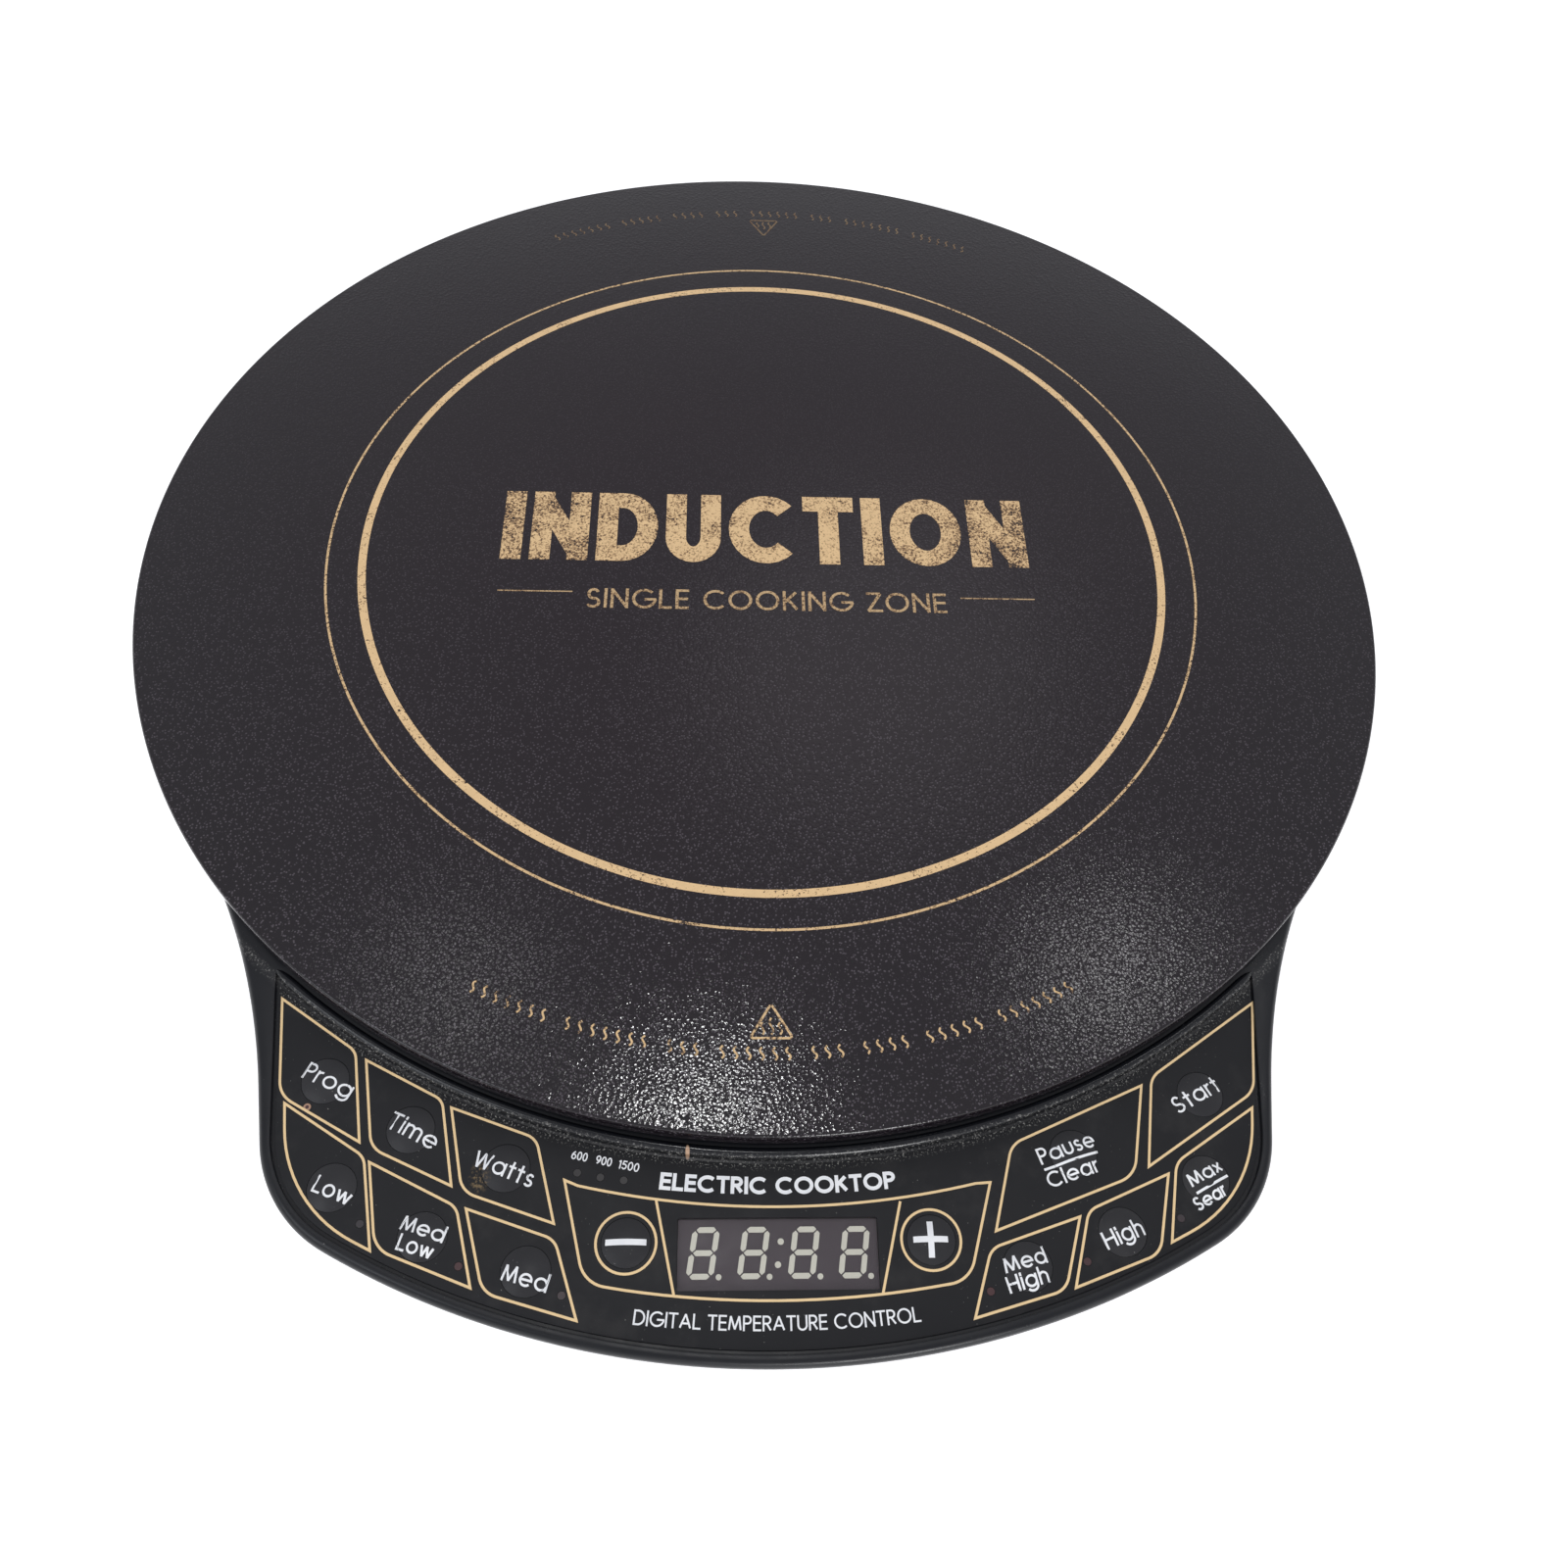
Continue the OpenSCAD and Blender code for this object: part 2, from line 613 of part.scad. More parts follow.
module coil_carrier() on_axis() color([0.3, 0.3, 0.3]) translate([0, 0, carrier_z]) {
  difference() {
    cylinder(r = carrier_r, h = carrier_t, $fn = 128);
    translate([0, 0, -1]) cylinder(r = 18, h = 4);
    for (p = COIL_POSTS) translate(concat(p, -1)) cylinder(d = 3.4, h = 4, $fn = 32);
    for (a = [30:60:330]) rotate([0, 0, a]) translate([84, 0, -1]) cylinder(d = 5, h = 4, $fn = 32);
  }
  // centre bridge that holds the temperature sensor
  difference() {
    union() {
      translate([-3.5, -19, 0]) cube([7, 38, carrier_t]);
      cylinder(r = 7, h = carrier_t);
    }
    translate([0, 0, -1]) cylinder(r = 2, h = 4, $fn = 32);
  }
  // raised wall that centres the winding, open where the inner lead comes in
  translate([0, 0, carrier_t - eps]) difference() {
    cylinder(r = 21.6, h = 3);
    translate([0, 0, -1]) cylinder(r = 19.6, h = 5);
    translate([10, -9, -1]) cube([20, 9, 5]);
  }
}

// A flat spiral of half circles whose centres alternate by half a pitch
module coil_winding() on_axis() color(copper) translate([0, 0, coil_z]) for (i = [0:turns - 1]) {
  r = coil_in_r + i * turn_pitch;
  rotate_extrude(angle = 180, $fn = 96) translate([r, 0]) circle(d = litz_d, $fn = 24);
  translate([turn_pitch / 2, 0, 0]) rotate([0, 0, 180]) rotate_extrude(angle = 180, $fn = 96)
    translate([r + turn_pitch / 2, 0]) circle(d = litz_d, $fn = 24);
}

module ferrite_bars() on_axis() color([0.12, 0.12, 0.13]) for (a = [0:45:315])
  rotate([0, 0, a + 22.5]) translate([26, -6, carrier_z - 4.6]) cube([52, 12, 4.5]);

module mica_sheet() on_axis() color([0.8, 0.78, 0.7])
  translate([0, 0, coil_z + litz_d / 2 + 0.5]) difference() {
    cylinder(r = carrier_r - 4, h = 0.4, $fn = 128);
    translate([0, 0, -1]) cylinder(r = 18.5, h = 3);
  }

// Sensor cup on the centre bridge, standing just under the glass
module temperature_sensor() on_axis() color([0.85, 0.85, 0.82]) {
  z = carrier_z + carrier_t + gap;
  translate([0, 0, z]) cylinder(d = 12, h = 3.5);
  translate([0, 0, z + 3.4]) cylinder(d = 8, h = rim_z + gasket_t - 0.3 - z - 3.4);
}

// Leads from the two ends of the winding to the board terminals
module coil_leads() on_axis() color([0.62, 0.12, 0.1]) {
  d = 3;
  lead_end = board_top + 12.1;
  lead([
    [coil_in_r, -0.1, coil_z], [coil_in_r - 0.4, -4, coil_z], [19, -5.5, coil_z], [15, -4.5, coil_z],
    [13.5, -3, carrier_z], [14.5, 2, carrier_z - 7], [15, 6, 38], [15, 6, lead_end]
  ], d);
  lead([
    [coil_out_r, 0.1, coil_z], [coil_out_r + 1, 5, coil_z], [91, 8, coil_z + 0.1], [96, 8, coil_z - 1],
    [97.5, 6, carrier_z - 6], [93, 5, 37], [91, 5, 33], [91, 5, lead_end]
  ], d);
}

module sensor_lead() on_axis() color([0.85, 0.85, 0.85]) lead([
  [0, 0, carrier_z + carrier_t], [0, 0, carrier_z - 4], [0, -8, carrier_z - 12],
  [1, -30, 33], [2, -52, 31], [7, -57, 27], [7, -57, board_top + 6.1]
], 1.6);

module fan_lead() on_axis() color([0.12, 0.12, 0.12]) lead([
  [-3.7, 12, fan_z + 10], [0, 8, fan_z + 11], [0, -30, 22], [3, -44, 25], [7, -49, 26],
  [7, -49, board_top + 6.4]
], 2);

// Flat cable from the main board up to the underside of the key board
module ribbon_cable() on_axis() color([0.7, 0.7, 0.7]) {
  path = [
    [-71, board_top + 8.2], [-71, 32], [-96, 36], [-128, 36], [-150, 39], [-165, 40],
    [-165, panel_board_z - 4.2]
  ];
  thickness = 0.9;
  width = 14;
  translate([21, 0, 0]) rotate([90, 0, 90]) linear_extrude(width) {
    for (i = [0:len(path) - 2]) {
      step = path[i + 1] - path[i];
      translate(path[i]) rotate(atan2(step[1], step[0])) translate([0, -thickness / 2])
        square([norm(step), thickness]);
      if (i > 0) translate(path[i]) circle(d = thickness, $fn = 24);
    }
  }
}

// Coil posts with clamp screws, and the two mains tabs
module terminals() on_axis() color([0.8, 0.65, 0.3]) {
  for (p = [[15, 6], [91, 5]]) translate(concat(p, board_top)) {
    cylinder(d = 7, h = 9, $fn = 32);
    cylinder(d = 4, h = 11.9, $fn = 32);
  }
  for (x = [66, 78]) translate([x, 64, board_top]) cube([6.3, 0.8, 10]);
}

module connectors() on_axis() color([0.9, 0.88, 0.82]) {
  block([20, -73, board_top], [36, -67.5, board_top + 8]);
  block([5, -60, board_top], [10, -54, board_top + 6]);
  block([5, -52, board_top], [10, -46, board_top + 6]);
  block([20, -168, panel_board_z - 4], [36, -162, panel_board_z]);
}

module fan_plan() {
  corner = 4;
  side = fan_side / 2;
  difference() {
    union() {
      translate([-side + corner, -side]) square([fan_side - 2 * corner, fan_side]);
      translate([-side, -side + corner]) square([fan_side, fan_side - 2 * corner]);
      for (x = [-1, 1], y = [-1, 1]) translate([x, y] * (side - corner)) circle(corner, $fn = 32);
    }
    circle(duct_r, $fn = 128);
    for (x = [-1, 1], y = [-1, 1]) translate([x, y] * fan_hole) circle(d = 4.3, $fn = 32);
  }
}

module fan_frame() on_axis() color(dark_grey) translate(concat(fan_c, fan_z)) {
  linear_extrude(fan_h) fan_plan();
  difference() {
    union() {
      cylinder(r = hub_r, h = 1.5);
      cylinder(r = 4, h = 10.4, $fn = 32);
      for (a = [20:90:290]) rotate([0, 0, a]) translate([hub_r - 1, -1.5, 0]) cube([duct_r - hub_r + 1.5, 3, 2]);
    }
    translate([0, 0, 1]) cylinder(d = 5, h = 12, $fn = 32);
  }
}

module fan_stator() on_axis() color(copper) translate(concat(fan_c, fan_z + 3)) difference() {
  union() {
    cylinder(r = 6.5, h = 6.5);
    for (a = [0:90:270]) rotate([0, 0, a]) {
      translate([5, -2, 0.5]) cube([4, 4, 5.5]);
      intersection() {
        difference() {
          cylinder(r = 11, h = 6.5);
          translate([0, 0, -1]) cylinder(r = 8.6, h = 9);
        }
        rotate([0, 0, -35]) cube([12, 12, 9]);
      }
    }
  }
  translate([0, 0, -1]) cylinder(r = 4.1, h = 9, $fn = 32);
}

module fan_bearing() on_axis() color([0.75, 0.62, 0.35]) translate(concat(fan_c, fan_z + 1.2)) difference() {
  cylinder(d = 4.9, h = 9, $fn = 32);
  translate([0, 0, -1]) cylinder(d = shaft_d + 0.1, h = 12, $fn = 32);
}

module fan_shaft() on_axis() color(steel) translate(concat(fan_c, fan_z + 1.4))
  cylinder(d = shaft_d, h = 11.4, $fn = 32);

module fan_magnet() on_axis() color([0.2, 0.2, 0.2]) translate(concat(fan_c, fan_z + 2.8)) difference() {
  cylinder(r = 13.2, h = 7);
  translate([0, 0, -1]) cylinder(r = 11.8, h = 9);
}

// Hub cup with its tilted blades and the inner boss that grips the shaft
module fan_rotor() on_axis() color([0.1, 0.1, 0.1]) translate(concat(fan_c, fan_z)) {
  low = 2.4;
  high = 13.4;
  cup_top = high - 1.6;
  tip_r = duct_r - 1.2;
  difference() {
    union() {
      difference() {
        translate([0, 0, low]) cylinder(r = hub_r, h = high - low);
        translate([0, 0, low - 1]) cylinder(r = hub_r - 2.6, h = cup_top - low + 1);
      }
      for (i = [0:blade_count - 1]) rotate([0, 0, i * 360 / blade_count]) intersection() {
        translate([hub_r + 11, 0, (low + high) / 2]) rotate([38, 0, 0]) cube([24, 20, 1.6], center = true);
        translate([0, 0, low + 0.4]) difference() {
          cylinder(r = tip_r, h = high - low - 1);
          translate([0, 0, -1]) cylinder(r = hub_r - 1, h = high);
        }
      }
      translate([0, 0, cup_top - 1]) cylinder(r = 3.5, h = 1.2, $fn = 32);
    }
    translate([0, 0, low - 1]) cylinder(d = shaft_d + 0.06, h = high - low + 0.5, $fn = 32);
  }
}

module feet() on_axis() color([0.2, 0.2, 0.21]) for (p = FEET) translate(p) {
  cylinder(d1 = 16, d2 = 18, h = 1.2);
  translate([0, 0, 1.2]) cylinder(d = 18, h = foot_h - 1.2);
  cylinder(d = 5.8, h = foot_h + floor_t);
}

module housing_screws() on_axis() color(steel) for (s = HOUSING_SCREWS)
  translate(concat(spot(s[0], s[1]), screw_seat_z)) screw(6, 2.2, 2.9, 20);

module board_screws() on_axis() color(steel) for (p = BOARD_SCREWS)
  translate(concat(p, board_top)) mirror([0, 0, 1]) screw(5, 1.8, 2.4, 7);

module panel_screws() on_axis() color(steel) for (s = PANEL_SCREWS)
  translate(concat(spot(s[0], s[1]), panel_board_z)) screw(4.4, 1.6, 2.1, 5.2);

module coil_screws() on_axis() color(steel) for (p = COIL_POSTS)
  translate(concat(p, carrier_z + carrier_t)) mirror([0, 0, 1]) screw(6.4, 2.2, 2.9, 12);

module fan_screws() on_axis() color(steel) for (x = [-1, 1], y = [-1, 1])
  translate([fan_c[0] + x * fan_hole, fan_c[1] + y * fan_hole, fan_z + fan_h]) mirror([0, 0, 1])
    screw(6.4, 2.2, 2.9, 15);

// Bushing in the rear wall that the mains cord comes out of
module cord_gland() on_axis() color(black) translate([0, gland_y, gland_z]) rotate([-90, 0, 0]) difference() {
  union() {
    translate([0, 0, -10]) cylinder(d = gland_d, h = 10 + eps);
    cylinder(d = 18, h = 2);
    translate([0, 0, 2 - eps]) cylinder(d1 = 14, d2 = 11, h = 9);
  }
  translate([0, 0, -11]) cylinder(d = cord_hole_d, h = 24);
}

bottom_housing();
top_housing();
glass_plate();
glass_gasket();
overlay_film();
display_window();
display_module();
display_segments();
light_pipes();
indicator_leds();
control_board();
tact_switches();
buzzer();
main_board();
heat_sink();
power_transistor();
bridge_rectifier();
film_capacitors();
electrolytic_capacitors();
filter_choke();
transformer();
fuse();
varistor();
coil_carrier();
coil_winding();
ferrite_bars();
mica_sheet();
temperature_sensor();
coil_leads();
sensor_lead();
fan_lead();
ribbon_cable();
terminals();
connectors();
fan_frame();
fan_stator();
fan_bearing();
fan_shaft();
fan_magnet();
fan_rotor();
feet();
housing_screws();
board_screws();
panel_screws();
coil_screws();
fan_screws();
cord_gland();
for (k = KEYS) key(k);
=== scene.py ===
import math

import bmesh
import bpy
import numpy as np
from mathutils import Euler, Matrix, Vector
from mathutils.geometry import convex_hull_2d, delaunay_2d_cdt


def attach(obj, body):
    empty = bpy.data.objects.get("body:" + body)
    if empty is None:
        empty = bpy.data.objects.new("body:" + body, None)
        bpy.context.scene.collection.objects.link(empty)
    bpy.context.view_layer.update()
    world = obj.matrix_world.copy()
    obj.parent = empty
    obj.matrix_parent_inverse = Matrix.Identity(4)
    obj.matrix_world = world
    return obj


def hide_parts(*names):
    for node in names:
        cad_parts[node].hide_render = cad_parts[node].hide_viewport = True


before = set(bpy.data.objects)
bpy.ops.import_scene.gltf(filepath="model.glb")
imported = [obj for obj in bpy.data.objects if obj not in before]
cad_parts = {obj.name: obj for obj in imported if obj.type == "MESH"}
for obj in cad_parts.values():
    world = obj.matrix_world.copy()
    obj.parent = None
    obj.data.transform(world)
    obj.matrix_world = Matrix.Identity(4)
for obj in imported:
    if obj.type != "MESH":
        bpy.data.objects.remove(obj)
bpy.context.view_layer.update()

# Sizes are in millimetres about the axis of the glass, as in the part, and become
# metres in the frame when a piece is made. Angles are in degrees.
MM = 0.001
AXIS_Y = 20.5
GLASS_R = 155.45
GLASS_TOP = 63.45
# the housing: its rim, the underside of its roof, its shoulder, its seam and its walls
RIM_Z = 58.6
ROOF_Z = 55.6
SHOULDER_Z = 56.4
SEAM_Z = 40.0
BASE_Z = 9.0
BASE_INSET = 22.4
WALL = 2.4
SEAT_R = 141.0
# its plan: the round body, the front arc, a point on the block's side, and the blends
BODY_R = 153.5
FRONT_C = np.array([0.0, -15.5])
FRONT_R = 181.0
BLOCK_SIDE = np.array([102.0, -150.0])
LEAN = 11.5
CORNER_R = 30.0
NECK_R = 160.0
# the key panel: its recess, the film in it, and the window's middle and size
FLOOR_Z = 57.6
FILM_Z = 58.0
PANEL_LEAN = 8.2
PANEL_INSET = 2.3
RECESS_R = 157.6
FILM_R = 158.9
FILM_CLEAR = 0.7
WINDOW = (0.2, -176.1, 38.4, 13.4)
# the keys: the film's hole, the dome in it, and the sphere that the dome is a cap of
HOLE_R = 4.78
DOME_R = 4.7
CROWN_R = 4.6
DOME_RISE = 0.8
DOME_SPHERE = (CROWN_R**2 + DOME_RISE**2) / (2 * DOME_RISE)
# the prints: width of the gold outlines and of the plus and minus, and the layer of ink
GOLD_W = 0.5
SIGN_W = 1.15
INK_RISE = 0.03
INK_DEPTH = 0.06

# Distance from the axis, and angle from the front
KEYS = {
    "prog": (168.0, -32.5),
    "time": (168.0, -25.4),
    "watts": (168.0, -18.3),
    "pause_clear": (168.0, 20.8),
    "start": (169.4, 31.2),
    "low": (184.2, -27.7),
    "med_low": (185.2, -21.3),
    "med": (185.2, -14.8),
    "med_high": (185.2, 15.0),
    "high": (185.2, 21.3),
    "max_sear": (183.6, 27.8),
    "minus": (176.3, -9.4),
    "plus": (176.3, 9.7),
}
LAMPS = [
    (174, -32.3), (187.6, -25), (187.8, -18.6), (187.8, -12.4), (187.8, 12.4),
    (187.8, 18.5), (187.6, 25), (165.1, -13.6), (165, -12), (164.7, -10.4),
]


# Plan shapes


def spot(r, a):
    """Point of the plan at a distance from the axis and an angle from the front."""
    return np.array([r * math.sin(math.radians(a)), -r * math.cos(math.radians(a))])


def arc(c, r, a, b, n, first=0):
    """Points of a circle from angle a to b in n steps, from the first step on."""
    t = np.radians(a + (b - a) * np.arange(first, n + 1) / n)
    return [tuple(c + r * np.array([math.cos(x), math.sin(x)])) for x in t]


def circle(c, r, n):
    return arc(np.array(c), r, 0, 360, n)[:-1]


def quarter(n):
    """Cosine and sine at the even steps of a right angle."""
    angles = [math.radians(90 * k / n) for k in range(n + 1)]
    return [(math.cos(t), math.sin(t)) for t in angles]


SIDE_N = np.array([math.cos(math.radians(LEAN)), -math.sin(math.radians(LEAN))])
SIDE_T = np.array([-SIDE_N[1], SIDE_N[0]])
SIDE_D = SIDE_N @ BLOCK_SIDE
corner_n = SIDE_D - CORNER_R - SIDE_N @ FRONT_C
CORNER_C = FRONT_C + corner_n * SIDE_N - math.sqrt((FRONT_R - CORNER_R) ** 2 - corner_n**2) * SIDE_T
CORNER_A = math.degrees(math.atan2(*(CORNER_C - FRONT_C)[::-1]))
neck_n = SIDE_D + NECK_R
NECK_C = neck_n * SIDE_N - math.sqrt((BODY_R + NECK_R) ** 2 - neck_n**2) * SIDE_T
NECK_A = math.degrees(math.atan2(*NECK_C[::-1]))


def mirrored(half):
    """Closed loop of a right half that starts and ends on the middle line."""
    return half + [(-x, y) for x, y in half[-2:0:-1]]


def outline(inset):
    """The housing: front arc, corners, necks and the round rear."""
    return mirrored(
        arc(FRONT_C, FRONT_R - inset, -90, CORNER_A, 40)
        + arc(CORNER_C, CORNER_R - inset, CORNER_A, -LEAN, 24, 1)
        + arc(NECK_C, NECK_R + inset, 180 - LEAN, 180 + NECK_A, 24)
        + arc(np.zeros(2), BODY_R - inset, NECK_A, 90, 110, 1)
    )


def wall_inset(z):
    """How far the outer wall has leaned in at a height below the shoulder."""
    return BASE_INSET * (SHOULDER_Z - z) / (SHOULDER_Z - BASE_Z)


def panel_loop(inset, inner_r):
    """The key panel's recess or film: front arc, corners, sides and the arc by the glass."""
    t = np.array([math.sin(math.radians(PANEL_LEAN)), math.cos(math.radians(PANEL_LEAN))])
    side = arc(CORNER_C, CORNER_R - inset, CORNER_A, -PANEL_LEAN, 20, 1)
    e = np.array(side[-1])
    along = -e @ t - math.sqrt((e @ t) ** 2 - (e @ e - inner_r**2))
    tip = e + along * t
    tip_a = math.degrees(math.atan2(tip[1], tip[0]))
    half = arc(FRONT_C, FRONT_R - inset, -90, CORNER_A, 40) + side
    half += [tuple(e + along * k / 6 * t) for k in range(1, 6)]
    half += arc(np.zeros(2), inner_r, tip_a, -90, 64)
    return mirrored(half)


def box_loop(cx, cy, w, h, r=0.0, n=5):
    """Rectangle with rounded corners."""
    loop = []
    for k, (sx, sy) in enumerate([(1, -1), (1, 1), (-1, 1), (-1, -1)]):
        c = np.array([cx + sx * (w / 2 - r), cy + sy * (h / 2 - r)])
        loop += arc(c, r, -90 + 90 * k, 90 * k, n) if r else [tuple(c)]
    return loop


# Meshes


class Solid:
    """Vertices and faces of a closed mesh, built from rings."""

    def __init__(self):
        self.verts, self.faces = [], []

    def points(self, points):
        first = len(self.verts)
        self.verts += [tuple(p) for p in points]
        return list(range(first, len(self.verts)))

    def ring(self, loop, z):
        return self.points([(x, y, z) for x, y in loop])

    def walls(self, *rings):
        for a, b in zip(rings, rings[1:]):
            n = len(a)
            self.faces += [(a[i], a[(i + 1) % n], b[(i + 1) % n], b[i]) for i in range(n)]

    def cap(self, ring):
        self.faces.append(tuple(ring))

    def fill(self, *rings):
        """Flat face between an outer ring and the rings of its openings."""
        ids, edges = [], []
        for ring in rings:
            n, start = len(ring), len(ids)
            ids += ring
            edges += [(start + i, start + (i + 1) % n) for i in range(n)]
        flat = np.array([self.verts[i][:2] for i in ids])
        coords, _, faces, origin = delaunay_2d_cdt(
            [Vector(p) for p in flat], edges, [], 0, 1e-6
        )[:4]
        middle = np.array([np.mean([coords[v] for v in f], 0) for f in faces])
        odd = np.zeros(len(faces), bool)
        for ring in rings:
            odd ^= inside(middle, [self.verts[i][:2] for i in ring])
        for f, keep in zip(faces, odd):
            if keep:
                self.faces.append(tuple(ids[origin[v][0]] for v in f))


def inside(points, loop):
    """Which points lie in a loop."""
    x, y = points[:, 0], points[:, 1]
    hit = np.zeros(len(points), bool)
    for (x0, y0), (x1, y1) in zip(loop, list(loop[1:]) + [loop[0]]):
        if y0 != y1:
            crosses = (y0 > y) != (y1 > y)
            hit ^= crosses & (x < (x1 - x0) * (y - y0) / (y1 - y0) + x0)
    return hit


def piece(name, solid, material, body="housing", angle=32, stands_for=()):
    """Makes an object of a solid."""
    mesh = bpy.data.meshes.new(name)
    mesh.from_pydata(
        [(x * MM, (y + AXIS_Y) * MM, z * MM) for x, y, z in solid.verts], [], solid.faces
    )
    bm = bmesh.new()
    bm.from_mesh(mesh)
    bmesh.ops.recalc_face_normals(bm, faces=bm.faces)
    bm.to_mesh(mesh)
    bm.free()
    return shown(name, mesh, material, body, angle, stands_for)


def welded(name, node, material):
    """Shows a CAD node's shape with its corners joined, so that its round walls shade evenly."""
    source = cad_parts[node]
    mesh = bpy.data.meshes.new(name)
    bm = bmesh.new()
    bm.from_mesh(source.data)
    bm.transform(source.matrix_world)
    bmesh.ops.remove_doubles(bm, verts=bm.verts, dist=0.002 * MM)
    bm.to_mesh(mesh)
    bm.free()
    if "custom_normal" in mesh.attributes:
        mesh.attributes.remove(mesh.attributes["custom_normal"])
    return shown(name, mesh, material, "housing", 30, [node])


def shown(name, mesh, material, body, angle, stands_for):
    """Places a mesh in the scene, on its body, and shades it smooth up to an angle."""
    mesh.polygons.foreach_set("use_smooth", [True] * len(mesh.polygons))
    mesh.set_sharp_from_angle(angle=math.radians(angle))
    mesh.materials.append(material)
    obj = bpy.data.objects.new(name, mesh)
    bpy.context.scene.collection.objects.link(obj)
    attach(obj, body)
    if stands_for:
        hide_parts(*stands_for)
    return obj


# Materials


class Paint:
    """A principled material and the nodes that feed it."""

    def __init__(self, name, rough, metal=0.0, **constant):
        self.mat = bpy.data.materials.get(name) or bpy.data.materials.new(name)
        self.mat.use_nodes = True
        self.tree = self.mat.node_tree
        self.tree.nodes.clear()
        out = self.tree.nodes.new("ShaderNodeOutputMaterial")
        self.bsdf = self.tree.nodes.new("ShaderNodeBsdfPrincipled")
        self.tree.links.new(self.bsdf.outputs[0], out.inputs[0])
        self.bsdf.inputs["Roughness"].default_value = rough
        self.bsdf.inputs["Metallic"].default_value = metal
        for key, value in constant.items():
            label = key.replace("_", " ").title().replace("Ior", "IOR")
            self.bsdf.inputs[label].default_value = value
        self.place = self.tree.nodes.new("ShaderNodeTexCoord").outputs["Object"]

    def put(self, socket, value):
        if isinstance(value, bpy.types.NodeSocket):
            self.tree.links.new(value, socket)
        elif isinstance(value, (tuple, list)) and socket.type == "RGBA":
            socket.default_value = (*value, 1.0)
        else:
            socket.default_value = value

    def set(self, name, value):
        self.put(self.bsdf.inputs[name], value)
        return self

    def noise(self, size, detail=3.0, rough=0.55):
        node = self.tree.nodes.new("ShaderNodeTexNoise")
        self.put(node.inputs["Vector"], self.place)
        self.put(node.inputs["Scale"], 1 / (size * MM))
        self.put(node.inputs["Detail"], detail)
        self.put(node.inputs["Roughness"], rough)
        return node.outputs[0]

    def cells(self, size):
        """Distance to the nearest of scattered points."""
        node = self.tree.nodes.new("ShaderNodeTexVoronoi")
        self.put(node.inputs["Vector"], self.place)
        self.put(node.inputs["Scale"], 1 / (size * MM))
        return node.outputs[0]

    def math(self, op, a, b=0.0):
        node = self.tree.nodes.new("ShaderNodeMath")
        node.operation = op
        self.put(node.inputs[0], a)
        self.put(node.inputs[1], b)
        return node.outputs[0]

    def range(self, value, lo, hi, out_lo=0.0, out_hi=1.0):
        """Maps lo to out_lo and hi to out_hi, and holds the value between them."""
        node = self.tree.nodes.new("ShaderNodeMapRange")
        for socket, v in zip(node.inputs, (value, lo, hi, out_lo, out_hi)):
            self.put(socket, v)
        return node.outputs[0]

    def mix(self, fac, a, b):
        node = self.tree.nodes.new("ShaderNodeMix")
        node.data_type = "RGBA"
        self.put(node.inputs[0], fac)
        self.put(node.inputs[6], a)
        self.put(node.inputs[7], b)
        return node.outputs[2]

    def part(self, axis):
        """One coordinate of the place, in metres of the frame."""
        node = self.tree.nodes.new("ShaderNodeSeparateXYZ")
        self.put(node.inputs[0], self.place)
        return node.outputs[axis]

    def radius(self):
        """Distance from the axis of the glass, in millimetres."""
        return self.away(0, 0, 1, 1)

    def away(self, x, y, wide, deep):
        """Distance from a point of the plan, in radii of an ellipse."""
        across = self.math("DIVIDE", self.math("SUBTRACT", self.part(0), x * MM), wide * MM)
        along = self.math("SUBTRACT", self.part(1), (y + AXIS_Y) * MM)
        along = self.math("DIVIDE", along, deep * MM)
        both = self.math(
            "ADD", self.math("MULTIPLY", across, across), self.math("MULTIPLY", along, along)
        )
        return self.math("SQRT", both)

    def bump(self, height, depth):
        node = self.tree.nodes.new("ShaderNodeBump")
        self.put(node.inputs["Height"], height)
        node.inputs["Strength"].default_value = 1.0
        node.inputs["Distance"].default_value = depth * MM
        self.put(self.bsdf.inputs["Normal"], node.outputs[0])


def shade(colour, k):
    return tuple(min(1.0, c * k) for c in colour)


def plain(name, colour, rough=0.45, metal=0.0, grain=0.5, depth=0.015, spread=0.25):
    """Moulded or cast surface: clouded colour, uneven roughness and a fine grain."""
    p = Paint(name, rough, metal)
    cloud = p.noise(18, 4)
    p.set("Base Color", p.mix(cloud, shade(colour, 1 - spread), shade(colour, 1 + spread)))
    p.set("Roughness", p.range(p.noise(7, 3), 0.3, 0.7, rough * 0.85, min(1, rough * 1.15)))
    p.bump(p.noise(grain, 2), depth)
    return p.mat


